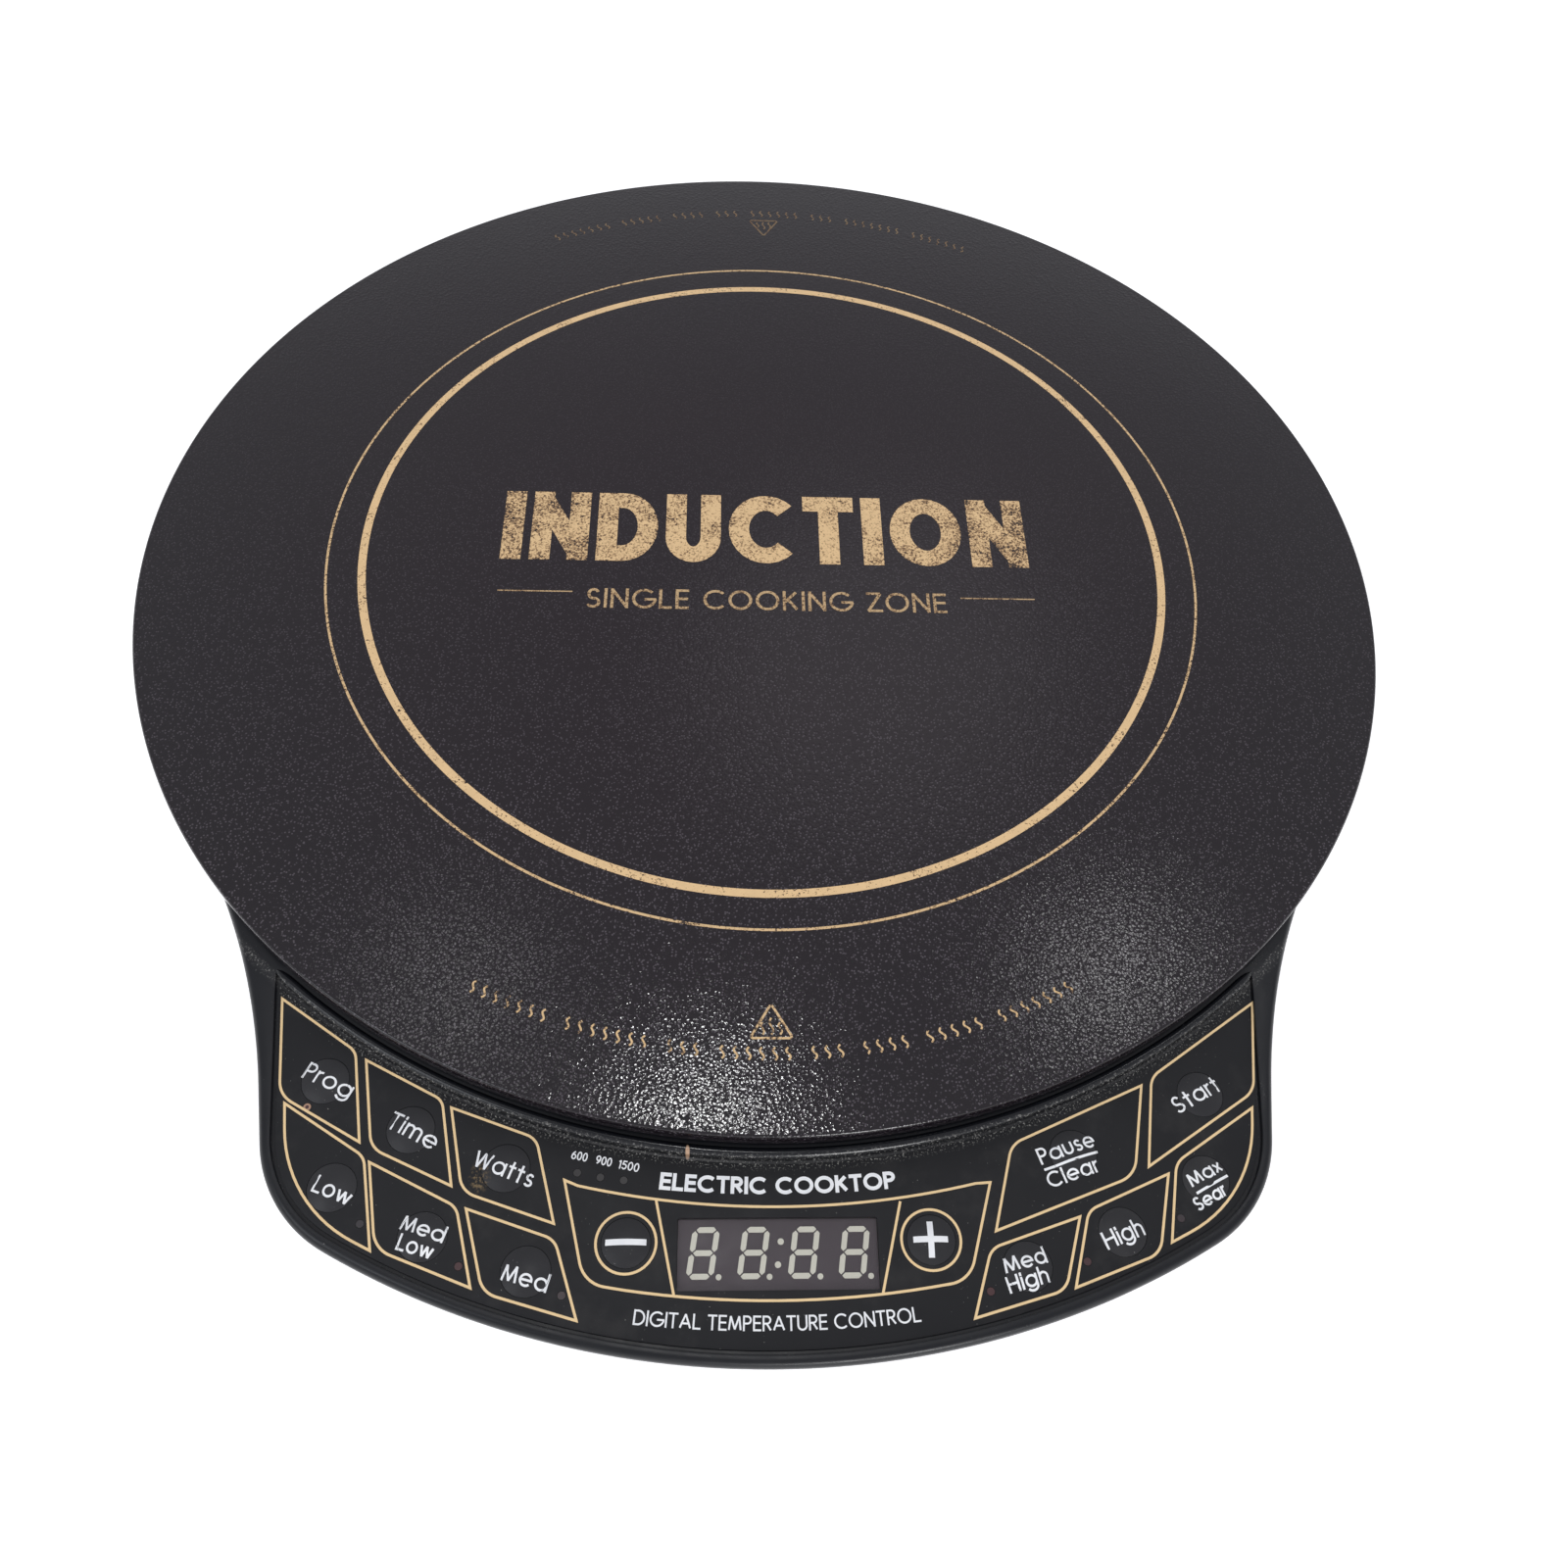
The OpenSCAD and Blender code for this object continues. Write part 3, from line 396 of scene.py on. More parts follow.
def glass_paint():
    """Pebbled black glass, with pale grains at the pebbles' edges that are painted sparkle, stronger
    toward the front where the glints fall, and worn dust.
    """
    p = Paint("cooktop_glass", 0.3, ior=1.5)
    side = p.range(p.radius(), 50, 155)
    warm = p.mix(p.noise(70, 2), (0.0145, 0.0078, 0.0115), (0.0105, 0.006, 0.0095))
    tint = p.mix(side, warm, (0.0105, 0.0078, 0.0105))
    # painted sparkle: pale colour at the pebbles' edges, stronger toward the front, stands in for
    # their glints
    cell = p.cells(0.72)
    front = p.range(p.part(1), 0.06, -0.09, 0.15, 0.8)
    grain = p.math("MULTIPLY", p.range(cell, 0.36, 0.16), front)
    tint = p.mix(grain, tint, (0.11, 0.095, 0.11))
    dust = p.range(p.noise(0.55, 2), 0.745, 0.76)
    worn = p.range(p.noise(14, 3), 0.52, 0.7, 0, 0.35)
    tint = p.mix(p.math("MULTIPLY", dust, worn), tint, (0.3, 0.28, 0.26))
    p.set("Base Color", tint)
    p.set("Roughness", p.range(p.noise(30, 3), 0.3, 0.7, 0.055, 0.09))
    pebbles = p.math("MULTIPLY", p.math("MULTIPLY", cell, cell), 0.8)
    ripples = p.math("MULTIPLY", p.noise(0.52, 2, 0.5), 0.6)
    p.bump(p.math("ADD", pebbles, ripples), 0.036)
    return p.mat


def ink_paint(name, colour, wear, rust=0.0, spread=0.0):
    """Screen print with specks worn away. spread makes the ends of a wide mark more worn."""
    p = Paint(name, 0.42)
    fine = p.noise(0.55, 4, 0.7)
    patch = p.noise(6, 3)
    amount = p.math("ADD", fine, p.math("MULTIPLY", p.math("SUBTRACT", patch, 0.5), 0.35))
    if spread:
        x = p.math("ABSOLUTE", p.part(0))
        far = p.range(x, 0.012, 0.068, 0, spread)
        amount = p.math("ADD", amount, far)
    gone = p.range(amount, 1 - wear, 1.03 - wear)
    base = p.mix(p.noise(3, 3), shade(colour, 0.86), shade(colour, 1.1))
    if rust:
        stain = p.range(amount, 1 - wear - rust, 1 - wear)
        base = p.mix(stain, base, (0.2, 0.095, 0.035))
    p.set("Base Color", p.mix(gone, base, (0.014, 0.01, 0.01)))
    p.bump(fine, 0.01)
    return p.mat


def film_paint(name, rough, colour=(0.0085, 0.0088, 0.0105)):
    """Printed film with smears and specks, grit along its inner edge and a tan scuff."""
    p = Paint(name, rough, specular_ior_level=0.3)
    base = p.mix(p.noise(25, 3), shade(colour, 0.8), shade(colour, 1.25))
    specks = p.range(p.noise(0.42, 2), 0.735, 0.75, 0, 0.5)
    specks = p.math("MULTIPLY", specks, p.range(p.noise(9, 2), 0.45, 0.6))
    edge = p.range(p.radius(), 160.6, 159.0)
    grit = p.range(p.noise(0.42, 3, 0.7), 0.58, 0.64, 0, 0.8)
    specks = p.math("MAXIMUM", specks, p.math("MULTIPLY", edge, grit))
    scuff = p.range(p.away(-57.6, -161.2, 2.0, 3.0), 1.2, 0.5)
    scuff = p.math("MULTIPLY", scuff, p.range(p.noise(0.6, 4, 0.7), 0.5, 0.62))
    smear = p.range(p.noise(11, 5, 0.6), 0.55, 0.8, 0, 0.05)
    base = p.mix(smear, base, (0.3, 0.28, 0.26))
    base = p.mix(scuff, base, (0.2, 0.14, 0.07))
    p.set("Base Color", p.mix(specks, base, (0.55, 0.54, 0.5)))
    p.set("Roughness", p.range(p.noise(5, 4), 0.3, 0.7, rough * 0.88, rough * 1.12))
    p.bump(p.noise(0.35, 2), 0.008)
    return p.mat


def housing_paint(name, dusty, rough=0.31):
    """Black ABS. Dust settles along the ridge by the glass, which has one tan nick."""
    p = Paint(name, 0.3, specular_ior_level=0.4)
    base = p.mix(p.noise(30, 3), (0.0045, 0.0052, 0.0072), (0.0075, 0.0085, 0.0115))
    if dusty:
        near = p.range(p.radius(), 159.9, 158.4)
        near = p.math("MULTIPLY", near, p.range(p.radius(), 157.2, 157.9))
        near = p.math("MULTIPLY", near, p.range(p.part(2), 0.0565, 0.0573))
        front = p.range(p.part(1), -0.075, -0.095)
        grit = p.range(p.noise(0.5, 4, 0.7), 0.55, 0.66, 0.03, 0.75)
        base = p.mix(
            p.math("MULTIPLY", p.math("MULTIPLY", near, front), grit), base, (0.42, 0.41, 0.39)
        )
        nick = p.range(p.away(-17.4, -156.7, 0.4, 1.2), 1.1, 0.9)
        base = p.mix(nick, base, (0.5, 0.33, 0.22))
    specks = p.range(p.noise(0.5, 2), 0.755, 0.77, 0, 0.35)
    p.set("Base Color", p.mix(specks, base, (0.4, 0.4, 0.4)))
    p.set("Roughness", p.range(p.noise(9, 4), 0.3, 0.7, rough * 0.78, rough * 1.22))
    p.bump(p.noise(0.8, 3), 0.012)
    return p.mat


def lens_paint():
    """Smoky window, clear enough to show the digits under it."""
    p = Paint("display_lens", 0.25, ior=1.49, alpha=0.13)
    p.set("Base Color", p.mix(p.noise(6, 4), (0.12, 0.098, 0.11), (0.15, 0.125, 0.138)))
    p.set("Roughness", p.range(p.noise(4, 4), 0.3, 0.7, 0.2, 0.34))
    p.bump(p.noise(0.5, 2), 0.004)
    return p.mat


def lamp_paint():
    """Smoky lamps: the power lamps are darker, and the print round one has worn to tan."""
    p = Paint("lamp_red", 0.35)
    base = p.mix(p.range(p.noise(20, 1), 0.4, 0.6), (0.034, 0.03, 0.034), (0.06, 0.022, 0.024))
    base = p.mix(p.range(p.radius(), 167, 166), base, (0.015, 0.013, 0.014))
    worn = p.away(*spot(*LAMPS[0]), 0.75, 0.75)
    ring = p.math("MULTIPLY", p.range(worn, 0.4, 0.55), p.range(worn, 1.6, 1.4))
    p.set("Base Color", p.mix(p.math("MULTIPLY", ring, 0.8), base, (0.5, 0.3, 0.2)))
    p.bump(p.noise(0.3, 2), 0.006)
    return p.mat


GLASS = glass_paint()
HOUSING = housing_paint("black_housing", True)
BASE = housing_paint("black_base", False)
RIDGE = housing_paint("glossy_ridge", True, 0.15)
FILM = film_paint("panel_film_print", 0.46)
# the domes are the same film as the panel, painted lighter to stand for the light that falls on their
# bumps
DOME_PAINTED_LIGHTER = film_paint("key_dome_film_painted_lighter", 0.4, (0.024, 0.024, 0.0265))
LENS = lens_paint()
lamp_paint()
GOLD = (0.84, 0.58, 0.3)
MARK_INK = ink_paint("worn_gold_mark", GOLD, 0.37, 0.13, 0.07)
LINE_INK = ink_paint("gold_small_line", shade(GOLD, 0.72), 0.4, 0.12)
RING_INK = ink_paint("gold_ring_print", GOLD, 0.36, 0.05)
FAINT_INK = ink_paint("gold_faint_print", shade(GOLD, 0.24), 0.45, 0.1)
THIN_INK = ink_paint("gold_thin_print", shade(GOLD, 0.9), 0.41, 0.06)
PANEL_INK = ink_paint("gold_panel_print", (0.88, 0.64, 0.34), 0.2)
WHITE_INK = ink_paint("white_panel_print", (0.9, 0.92, 0.96), 0.2)


# The glass plate


def glass_plate():
    s = Solid()
    edge = 0.7
    profile = [(GLASS_R - 0.5, 59.5), (GLASS_R - 0.15, 59.6), (GLASS_R, 59.9)]
    for out, up in quarter(8):
        profile.append((GLASS_R - edge + edge * out, GLASS_TOP - edge + edge * up))
    rings = [s.ring(circle((0, 0), r, 360), z) for r, z in profile]
    s.walls(*rings)
    s.cap(rings[0])
    s.cap(rings[-1])
    piece("cooktop_glass_plate", s, GLASS, stands_for=["glass_plate"])


def gasket():
    s = Solid()
    inner, outer, lo, hi = GLASS_R - 12, GLASS_R - 3.6, RIM_Z, 59.5
    section = [(inner, lo), (outer - 0.1, lo), (outer, (lo + hi) / 2), (outer - 0.1, hi), (inner, hi)]
    rings = [s.ring(circle((0, 0), r, 240), z) for r, z in section]
    s.walls(*rings, rings[0])
    rubber = plain("gasket_rubber", (0.02, 0.02, 0.021), 0.6, grain=0.4, depth=0.02)
    piece("glass_seal", s, rubber, stands_for=["glass_gasket"])


# The top housing, with the recess of the key panel


def openings(key_r, lamp_r, window_gap):
    """Loops of the holes for the keys, the lamps and the window."""
    loops = [circle(spot(*k), key_r, 48) for k in KEYS.values()]
    loops += [circle(spot(*p), lamp_r, 20) for p in LAMPS]
    x, y, w, h = WINDOW
    loops.append(box_loop(x, y, w + 2 * window_gap, h + 2 * window_gap, 0.5))
    return loops


def top_housing():
    s = Solid()
    lip = 0.25
    round_r = 1.4
    profile = [(wall_inset(SEAM_Z) + lip, SEAM_Z), (wall_inset(SEAM_Z), SEAM_Z + lip)]
    profile += [(wall_inset(z), z) for z in (44, 48, 52, 55, 56)]
    profile += [(0.08, 56.35), (0.0, 56.7)]
    for out, up in quarter(8):
        profile.append((round_r * (1 - out), RIM_Z - round_r + round_r * up))
    outer = [s.ring(outline(d), z) for d, z in profile]
    s.walls(*outer)
    # recess opening with a rounded edge
    edge = 0.3
    recess = []
    for up, out in quarter(4):
        d = edge * (1 - out)
        loop = panel_loop(PANEL_INSET - d, RECESS_R - d)
        recess.append(s.ring(loop, RIM_Z - edge * (1 - up)))
    floor_ring = s.ring(panel_loop(PANEL_INSET, RECESS_R), FLOOR_Z)
    s.walls(*recess, floor_ring)
    seat_top = s.ring(circle((0, 0), SEAT_R, 180), RIM_Z)
    seat_low = s.ring(circle((0, 0), SEAT_R, 180), ROOF_Z)
    s.walls(seat_top, seat_low)
    s.fill(outer[-1], recess[0], seat_top)
    holes_top, holes_low = [], []
    for loop in openings(key_r=4.9, lamp_r=0.9, window_gap=0.6):
        holes_top.append(s.ring(loop, FLOOR_Z))
        holes_low.append(s.ring(loop, ROOF_Z))
        s.walls(holes_top[-1], holes_low[-1])
    s.fill(floor_ring, *holes_top)
    roof = s.ring(outline(wall_inset(ROOF_Z) + WALL), ROOF_Z)
    s.fill(roof, seat_low, *holes_low)
    inner = [s.ring(outline(wall_inset(z) + WALL), z) for z in (48, SEAM_Z)]
    s.walls(roof, *inner, outer[0])
    piece("top_shell", s, HOUSING, stands_for=["top_housing"], angle=28)


def ridge():
    """Rounded bead that runs along the front of the glass."""
    s = Solid()
    r0, z0, wide, high, reach = 157.0, RIM_Z - 0.1, 1.1, 0.95, 41.5
    steps, sides = 180, 20
    rings = []
    for i in range(steps + 1):
        a = math.radians(-90 - reach + 2 * reach * i / steps)
        end = min(i, steps - i) / 4
        size = math.sqrt(max(0.02, 1 - (1 - min(1, end)) ** 2))
        rings.append(
            s.points(
                (
                    (r0 + wide * size * math.cos(t)) * math.cos(a),
                    (r0 + wide * size * math.cos(t)) * math.sin(a),
                    z0 + high * size * math.sin(t),
                )
                for t in (2 * math.pi * k / sides for k in range(sides))
            )
        )
    s.walls(*rings)
    s.cap(rings[0])
    s.cap(rings[-1])
    piece("glass_ridge", s, RIDGE, angle=60)


def screw_bosses():
    """Tubes under the top housing that take the housing and panel screws."""
    wide, slim = (1.55, 4.2, 43.4), (1.15, 3.0, 50.7)
    bosses = [(145, a, wide) for a in (39.4, -39.4)]
    bosses += [(136, a, wide) for a in (95, -95, 145, -145)]
    bosses += [(177, a, slim) for a in (-25, -16.3, 16.3, 25)]
    top = ROOF_Z + 0.01
    s = Solid()
    for r, a, (bore, outer, low) in bosses:
        section = [(bore, low), (outer, low), (outer, top), (bore, top)]
        rings = [s.ring(circle(spot(r, a), d, 32), z) for d, z in section]
        s.walls(*rings, rings[0])
    piece("screw_bosses", s, HOUSING)


# The film, the keys and the display window


def overlay_film():
    s = Solid()
    inset, low = PANEL_INSET + FILM_CLEAR, FLOOR_Z
    outer = [
        s.ring(panel_loop(inset + d, FILM_R + d), z)
        for d, z in [(0, low), (0, FILM_Z - 0.1), (0.04, FILM_Z - 0.03), (0.12, FILM_Z)]
    ]
    s.walls(*outer)
    tops, lows = [], []
    for loop in openings(HOLE_R, lamp_r=0.82, window_gap=0.06):
        tops.append(s.ring(loop, FILM_Z))
        lows.append(s.ring(loop, low))
        s.walls(tops[-1], lows[-1])
    s.fill(outer[-1], *tops)
    s.fill(outer[0], *lows)
    piece("control_film", s, FILM, stands_for=["overlay_film"])


def dome_z(r):
    """Height of a key dome, or of the film round it, r from the key's middle."""
    if r > DOME_R:
        return FILM_Z
    return FILM_Z + DOME_RISE - DOME_SPHERE + math.sqrt(DOME_SPHERE**2 - min(r, CROWN_R) ** 2)


def key_pieces():
    """Each key: a dome with its stem, and the switch button under it."""
    button_top, stem_low = 54.7, 54.8
    steel = plain("switch_button", (0.55, 0.56, 0.58), 0.35, 1.0, grain=0.3, depth=0.005)
    for name, at in KEYS.items():
        c = spot(*at)
        s = Solid()
        dome = [(1.6, 57.3), (DOME_R, 57.3), (DOME_R, FILM_Z - 0.04)]
        dome += [(r, dome_z(r)) for r in (4.64, 4.5, 4.2, 3.6, 3.0, 2.4, 1.8, 1.2, 0.6, 0.12)]
        rings = [s.ring(circle(c, r, 48), z) for r, z in dome]
        s.walls(*rings)
        s.cap(rings[-1])
        stem = [s.ring(circle(c, r, 48), stem_low) for r in (1.6, 1.2)]
        s.walls(rings[0], stem[0], stem[1])
        s.cap(stem[1])
        button = [
            s.ring(circle(c, r, 48), z)
            for r, z in [(1.7, 52.9), (1.7, 54.55), (1.55, button_top), (0.4, button_top)]
        ]
        s.walls(*button)
        s.cap(button[0])
        s.cap(button[-1])
        obj = piece(
            f"{name}_dome", s, DOME_PAINTED_LIGHTER, body=f"{name}_key", stands_for=[f"key_{name}"]
        )
        obj.data.materials.append(steel)
        for face in obj.data.polygons:
            face.material_index = int(face.center.z < (button_top + stem_low) / 2 * MM)


def digit_bars():
    """Four digits of seven slanted bars with their points, and the colon between the pairs."""
    s = Solid()
    wide, high, bar, gap, pitch, slant = 5.25, 9.7, 1.05, 0.42, 9.65, math.tan(math.radians(8))
    middle = WINDOW[1] + 0.35
    stem = (high - bar) / 2
    shapes = [circle((0.45 + k * 0.3, middle - 0.1 + k * 2.15), 0.6, 24) for k in (-1, 1)]
    for i in range(4):
        x0 = 0.35 + (i - 1.5) * pitch
        shapes.append(circle((x0 + 3, middle - high / 2 + 0.4), 0.55, 24))
        bars = [(0, y, wide - bar - gap, 0) for y in (-stem, 0, stem)]
        corners = [(x, y) for x in (-1, 1) for y in (-1, 1)]
        bars += [(x * (wide - bar) / 2, y * stem / 2, stem - gap, 1) for x, y in corners]
        for x, y, length, upright in bars:
            a, b = length / 2, bar / 2
            loop = [(-a, 0), (b - a, -b), (a - b, -b), (a, 0), (a - b, b), (b - a, b)]
            if upright:
                loop = [(-v, u) for u, v in loop]
            shapes.append([(x0 + x + u + slant * (y + v), middle + y + v) for u, v in loop])
    for loop in shapes:
        low, top = s.ring(loop, FILM_Z - 0.95), s.ring(loop, FILM_Z - 0.75)
        s.walls(low, top)
        s.cap(low)
        s.cap(top)
    fill = plain("segment_fill", (0.97, 0.95, 0.8), 0.5, grain=0.3, depth=0.006, spread=0.05)
    piece("digit_bars", s, fill, stands_for=["display_segments"])


def display_lens():
    s = Solid()
    x, y, w, h = WINDOW
    rings = [
        s.ring(box_loop(x, y, w - 2 * d, h - 2 * d, 0.5 - d), z)
        for d, z in [(0, FILM_Z - 0.7), (0, FILM_Z - 0.08), (0.03, FILM_Z - 0.02), (0.1, FILM_Z)]
    ]
    s.walls(*rings)
    s.cap(rings[0])
    s.cap(rings[-1])
    piece("display_lens_plate", s, LENS, stands_for=["display_window"])


# Prints: thin layers of ink made of strokes joined into one outline


def ribbon(points, width, closed=False, limit=1.7):
    """Quads of a stroke of even width along the points, with flat corners at sharp turns."""
    p = [np.array(q, float) for q in points]
    n = len(p)
    ends, corners = [], []
    for i in range(n):
        a = p[i - 1] if closed or i else None
        b = p[(i + 1) % n] if closed or i < n - 1 else None
        back = (p[i] - a) / np.linalg.norm(p[i] - a) if a is not None else None
        ahead = (b - p[i]) / np.linalg.norm(b - p[i]) if b is not None else back
        back = ahead if back is None else back
        across = [np.array([-d[1], d[0]]) * width / 2 for d in (back, ahead)]
        lean = math.sqrt(max(0, (1 + back @ ahead) / 2))
        if lean * limit > 1:
            middle = across[0] + across[1]
            across = [middle / np.linalg.norm(middle) * width / 2 / lean] * 2
        else:
            corners.append([p[i] + k * d for d in across for k in (1, -1)])
        ends.append([(p[i] + d, p[i] - d) for d in across])
    quads = []
    for i in range(n if closed else n - 1):
        start, stop = ends[i][1], ends[(i + 1) % n][0]
        quads.append([start[0], start[1], stop[1], stop[0]])
    return quads + corners


def rounded(corners):
    """Points of a closed outline through [x, y, radius] corners."""
    out = []
    n = len(corners)
    for i, (x, y, r) in enumerate(corners):
        c = np.array([x, y])
        if not r:
            out.append(c)
            continue
        u = np.array(corners[i - 1][:2]) - c
        v = np.array(corners[(i + 1) % n][:2]) - c
        u, v = u / np.linalg.norm(u), v / np.linalg.norm(v)
        half = math.acos(np.clip(u @ v, -1, 1)) / 2
        reach = r / math.tan(half)
        middle = (u + v) / np.linalg.norm(u + v)
        o = c + middle * r / math.sin(half)
        a, b = c + u * reach - o, c + v * reach - o
        t0, t1 = math.atan2(a[1], a[0]), math.atan2(b[1], b[0])
        turn = (t1 - t0 + math.pi) % (2 * math.pi) - math.pi
        steps = 14
        out += [
            o + r * np.array([math.cos(t0 + turn * k / steps), math.sin(t0 + turn * k / steps)])
            for k in range(steps + 1)
        ]
    return out


def covered(points, hulls):
    """Which points lie in one of the convex polygons."""
    hit = np.zeros(len(points), bool)
    for hull in hulls:
        turn = [np.array(b) - np.array(a) for a, b in zip(hull, hull[1:] + hull[:1])]
        side = [
            d[0] * (points[:, 1] - a[1]) - d[1] * (points[:, 0] - a[0])
            for d, a in zip(turn, hull)
        ]
        side = np.array(side)
        hit |= (side > 0).all(0) | (side < 0).all(0)
    return hit


def ink(name, polygons, height, material, body="housing", loops=(), keep=None):
    """Joins overlapping convex polygons into one thin printed layer that follows height(x, y)."""
    points, edges, hulls = [], [], []
    for poly in polygons:
        corners = [Vector((float(p[0]), float(p[1]))) for p in poly]
        hulls.append([corners[i] for i in convex_hull_2d(corners)])
    for loop in hulls + [[Vector(p) for p in loop] for loop in loops]:
        n, start = len(loop), len(points)
        points += loop
        edges += [(start + i, start + (i + 1) % n) for i in range(n)]
    coords, _, tris = delaunay_2d_cdt(points, edges, [], 0, 1e-4)[:3]
    middles = np.array([np.mean([coords[v] for v in t], 0) for t in tris])
    inked = covered(middles, hulls)
    kept = [
        t for t, m, on in zip(tris, middles, inked) if on and (keep is None or keep(m[0], m[1]))
    ]
    if not kept:
        return
    used = sorted({v for t in kept for v in t})
    s = Solid()
    tops = [height(coords[v].x, coords[v].y) + INK_RISE for v in used]
    upper = dict(zip(used, s.points((coords[v].x, coords[v].y, z) for v, z in zip(used, tops))))
    lower = dict(
        zip(used, s.points((coords[v].x, coords[v].y, z - INK_DEPTH) for v, z in zip(used, tops)))
    )
    count = {}
    for t in kept:
        s.faces.append(tuple(upper[v] for v in t))
        s.faces.append(tuple(lower[v] for v in reversed(t)))
        for a, b in zip(t, list(t[1:]) + [t[0]]):
            count[(a, b)] = count.get((a, b), 0) + 1
    for a, b in count:
        if (b, a) not in count:
            s.faces.append((upper[a], lower[a], lower[b], upper[b]))
    piece(name, s, material, body=body, angle=40)


def bow(cx, cy, rx, ry, a, b, n=14):
    """Points of an ellipse from angle a to b."""
    t = [math.radians(a + (b - a) * k / n) for k in range(n + 1)]
    return [(cx + rx * math.cos(x), cy + ry * math.sin(x)) for x in t]


def font():
    """Plain geometric letters: advance and strokes, for a cap height of 1."""
    x = 0.7
    o = x / 2
    ring = bow(o, o, o, o, 0, 360, 24)
    stem = [(2 * o, 0), (2 * o, x)]
    hood = [(0, 0), (0, 1), (0.26, 1)] + bow(0.26, 0.74, 0.26, 0.26, 90, -90)[1:] + [(0, 0.48)]
    return {
        "a": (x, [ring, stem]),
        "d": (x, [ring, [(2 * o, 0), (2 * o, 1.04)]]),
        "e": (x, [[(0, o), (2 * o, o)] + bow(o, o, o, o, 0, 318, 22)[1:]]),
        "g": (x, [ring, [(2 * o, x), (2 * o, 0)] + bow(o, 0, o, 0.29, 0, -155, 12)[1:]]),
        "h": (0.54, [[(0, 0), (0, 1.04)], bow(0.27, x - 0.27, 0.27, 0.27, 180, 0) + [(0.54, 0)]]),
        "i": (0.0, [[(0, 0), (0, x)], [(0, 0.92), (0, 1.0)]]),
        "l": (0.0, [[(0, 0), (0, 1.04)]]),
        "m": (
            0.92,
            [
                [(0, 0), (0, x)],
                bow(0.23, x - 0.23, 0.23, 0.23, 180, 0) + [(0.46, 0)],
                bow(0.69, x - 0.23, 0.23, 0.23, 180, 0) + [(0.92, 0)],
            ],
        ),
        "o": (x, [ring]),
        "r": (0.25, [[(0, 0), (0, x)], bow(0.25, x - 0.25, 0.25, 0.25, 180, 80)]),
        "s": (
            0.4,
            [bow(0.2, 0.52, 0.17, 0.18, 25, 270, 10) + bow(0.2, 0.17, 0.2, 0.17, 90, -155, 12)[1:]],
        ),
        "t": (0.3, [[(0.15, 0), (0.15, 0.98)], [(0, x), (0.3, x)]]),
        "u": (
            0.54,
            [[(0, x), (0, 0.27)] + bow(0.27, 0.27, 0.27, 0.27, 180, 360)[1:] + [(0.54, x)]],
        ),
        "w": (0.84, [[(0, x), (0.21, 0), (0.42, x), (0.63, 0), (0.84, x)]]),
        "x": (0.5, [[(0, 0), (0.5, x)], [(0, x), (0.5, 0)]]),
        "A": (0.78, [[(0, 0), (0.39, 1), (0.78, 0)], [(0.13, 0.33), (0.65, 0.33)]]),
        "C": (0.86, [bow(0.5, 0.5, 0.5, 0.5, 45, 315, 20)]),
        "D": (
            0.74,
            [[(0, 0), (0, 1), (0.28, 1)] + bow(0.28, 0.5, 0.46, 0.5, 90, -90, 16)[1:] + [(0, 0)]],
        ),
        "E": (0.48, [[(0.48, 1), (0, 1), (0, 0), (0.48, 0)], [(0, 0.52), (0.44, 0.52)]]),
        "G": (0.94, [bow(0.5, 0.5, 0.5, 0.5, 45, 350, 20) + [(0.98, 0.46), (0.56, 0.46)]]),
        "H": (0.66, [[(0, 0), (0, 1)], [(0.66, 0), (0.66, 1)], [(0, 0.52), (0.66, 0.52)]]),
        "I": (0.0, [[(0, 0), (0, 1)]]),
        "K": (0.58, [[(0, 0), (0, 1)], [(0.54, 1), (0, 0.4)], [(0.17, 0.57), (0.58, 0)]]),
        "L": (0.46, [[(0, 1), (0, 0), (0.46, 0)]]),
        "M": (0.88, [[(0, 0), (0.12, 1), (0.44, 0.06), (0.76, 1), (0.88, 0)]]),
        "N": (0.68, [[(0, 0), (0, 1)], [(0, 1), (0.68, 0)], [(0.68, 0), (0.68, 1)]]),
        "O": (0.96, [bow(0.48, 0.5, 0.48, 0.5, 0, 360, 28)]),
        "P": (0.52, [hood]),
        "R": (0.54, [hood, [(0.24, 0.48), (0.55, 0)]]),
        "S": (
            0.52,
            [bow(0.26, 0.74, 0.22, 0.26, 25, 270, 12) + bow(0.26, 0.24, 0.26, 0.24, 90, -155, 14)[1:]],
        ),
        "T": (0.58, [[(0, 1), (0.58, 1)], [(0.29, 0), (0.29, 1)]]),
        "U": (
            0.64,
            [[(0, 1), (0, 0.32)] + bow(0.32, 0.32, 0.32, 0.32, 180, 360)[1:] + [(0.64, 1)]],
        ),
        "W": (1.0, [[(0, 1), (0.25, 0), (0.5, 0.97), (0.75, 0), (1.0, 1)]]),
        "Z": (0.58, [[(0, 1), (0.58, 1), (0, 0), (0.6, 0)]]),
        "0": (0.5, [bow(0.25, 0.5, 0.25, 0.5, 0, 360, 20)]),
        "1": (0.2, [[(0, 0.8), (0.2, 1), (0.2, 0)]]),
        "5": (
            0.48,
            [[(0.44, 1), (0.1, 1), (0.04, 0.54)] + bow(0.22, 0.31, 0.26, 0.31, 120, -150, 14)],
        ),
        "6": (
            0.5,
            [bow(0.25, 0.3, 0.25, 0.3, 0, 360, 18), bow(0.62, 0.3, 0.62, 0.72, 180, 112, 10)],
        ),
        "9": (
            0.5,
            [bow(0.25, 0.7, 0.25, 0.3, 0, 360, 18), bow(-0.12, 0.7, 0.62, 0.72, 0, -68, 10)],
        ),
    }


FONT = font()


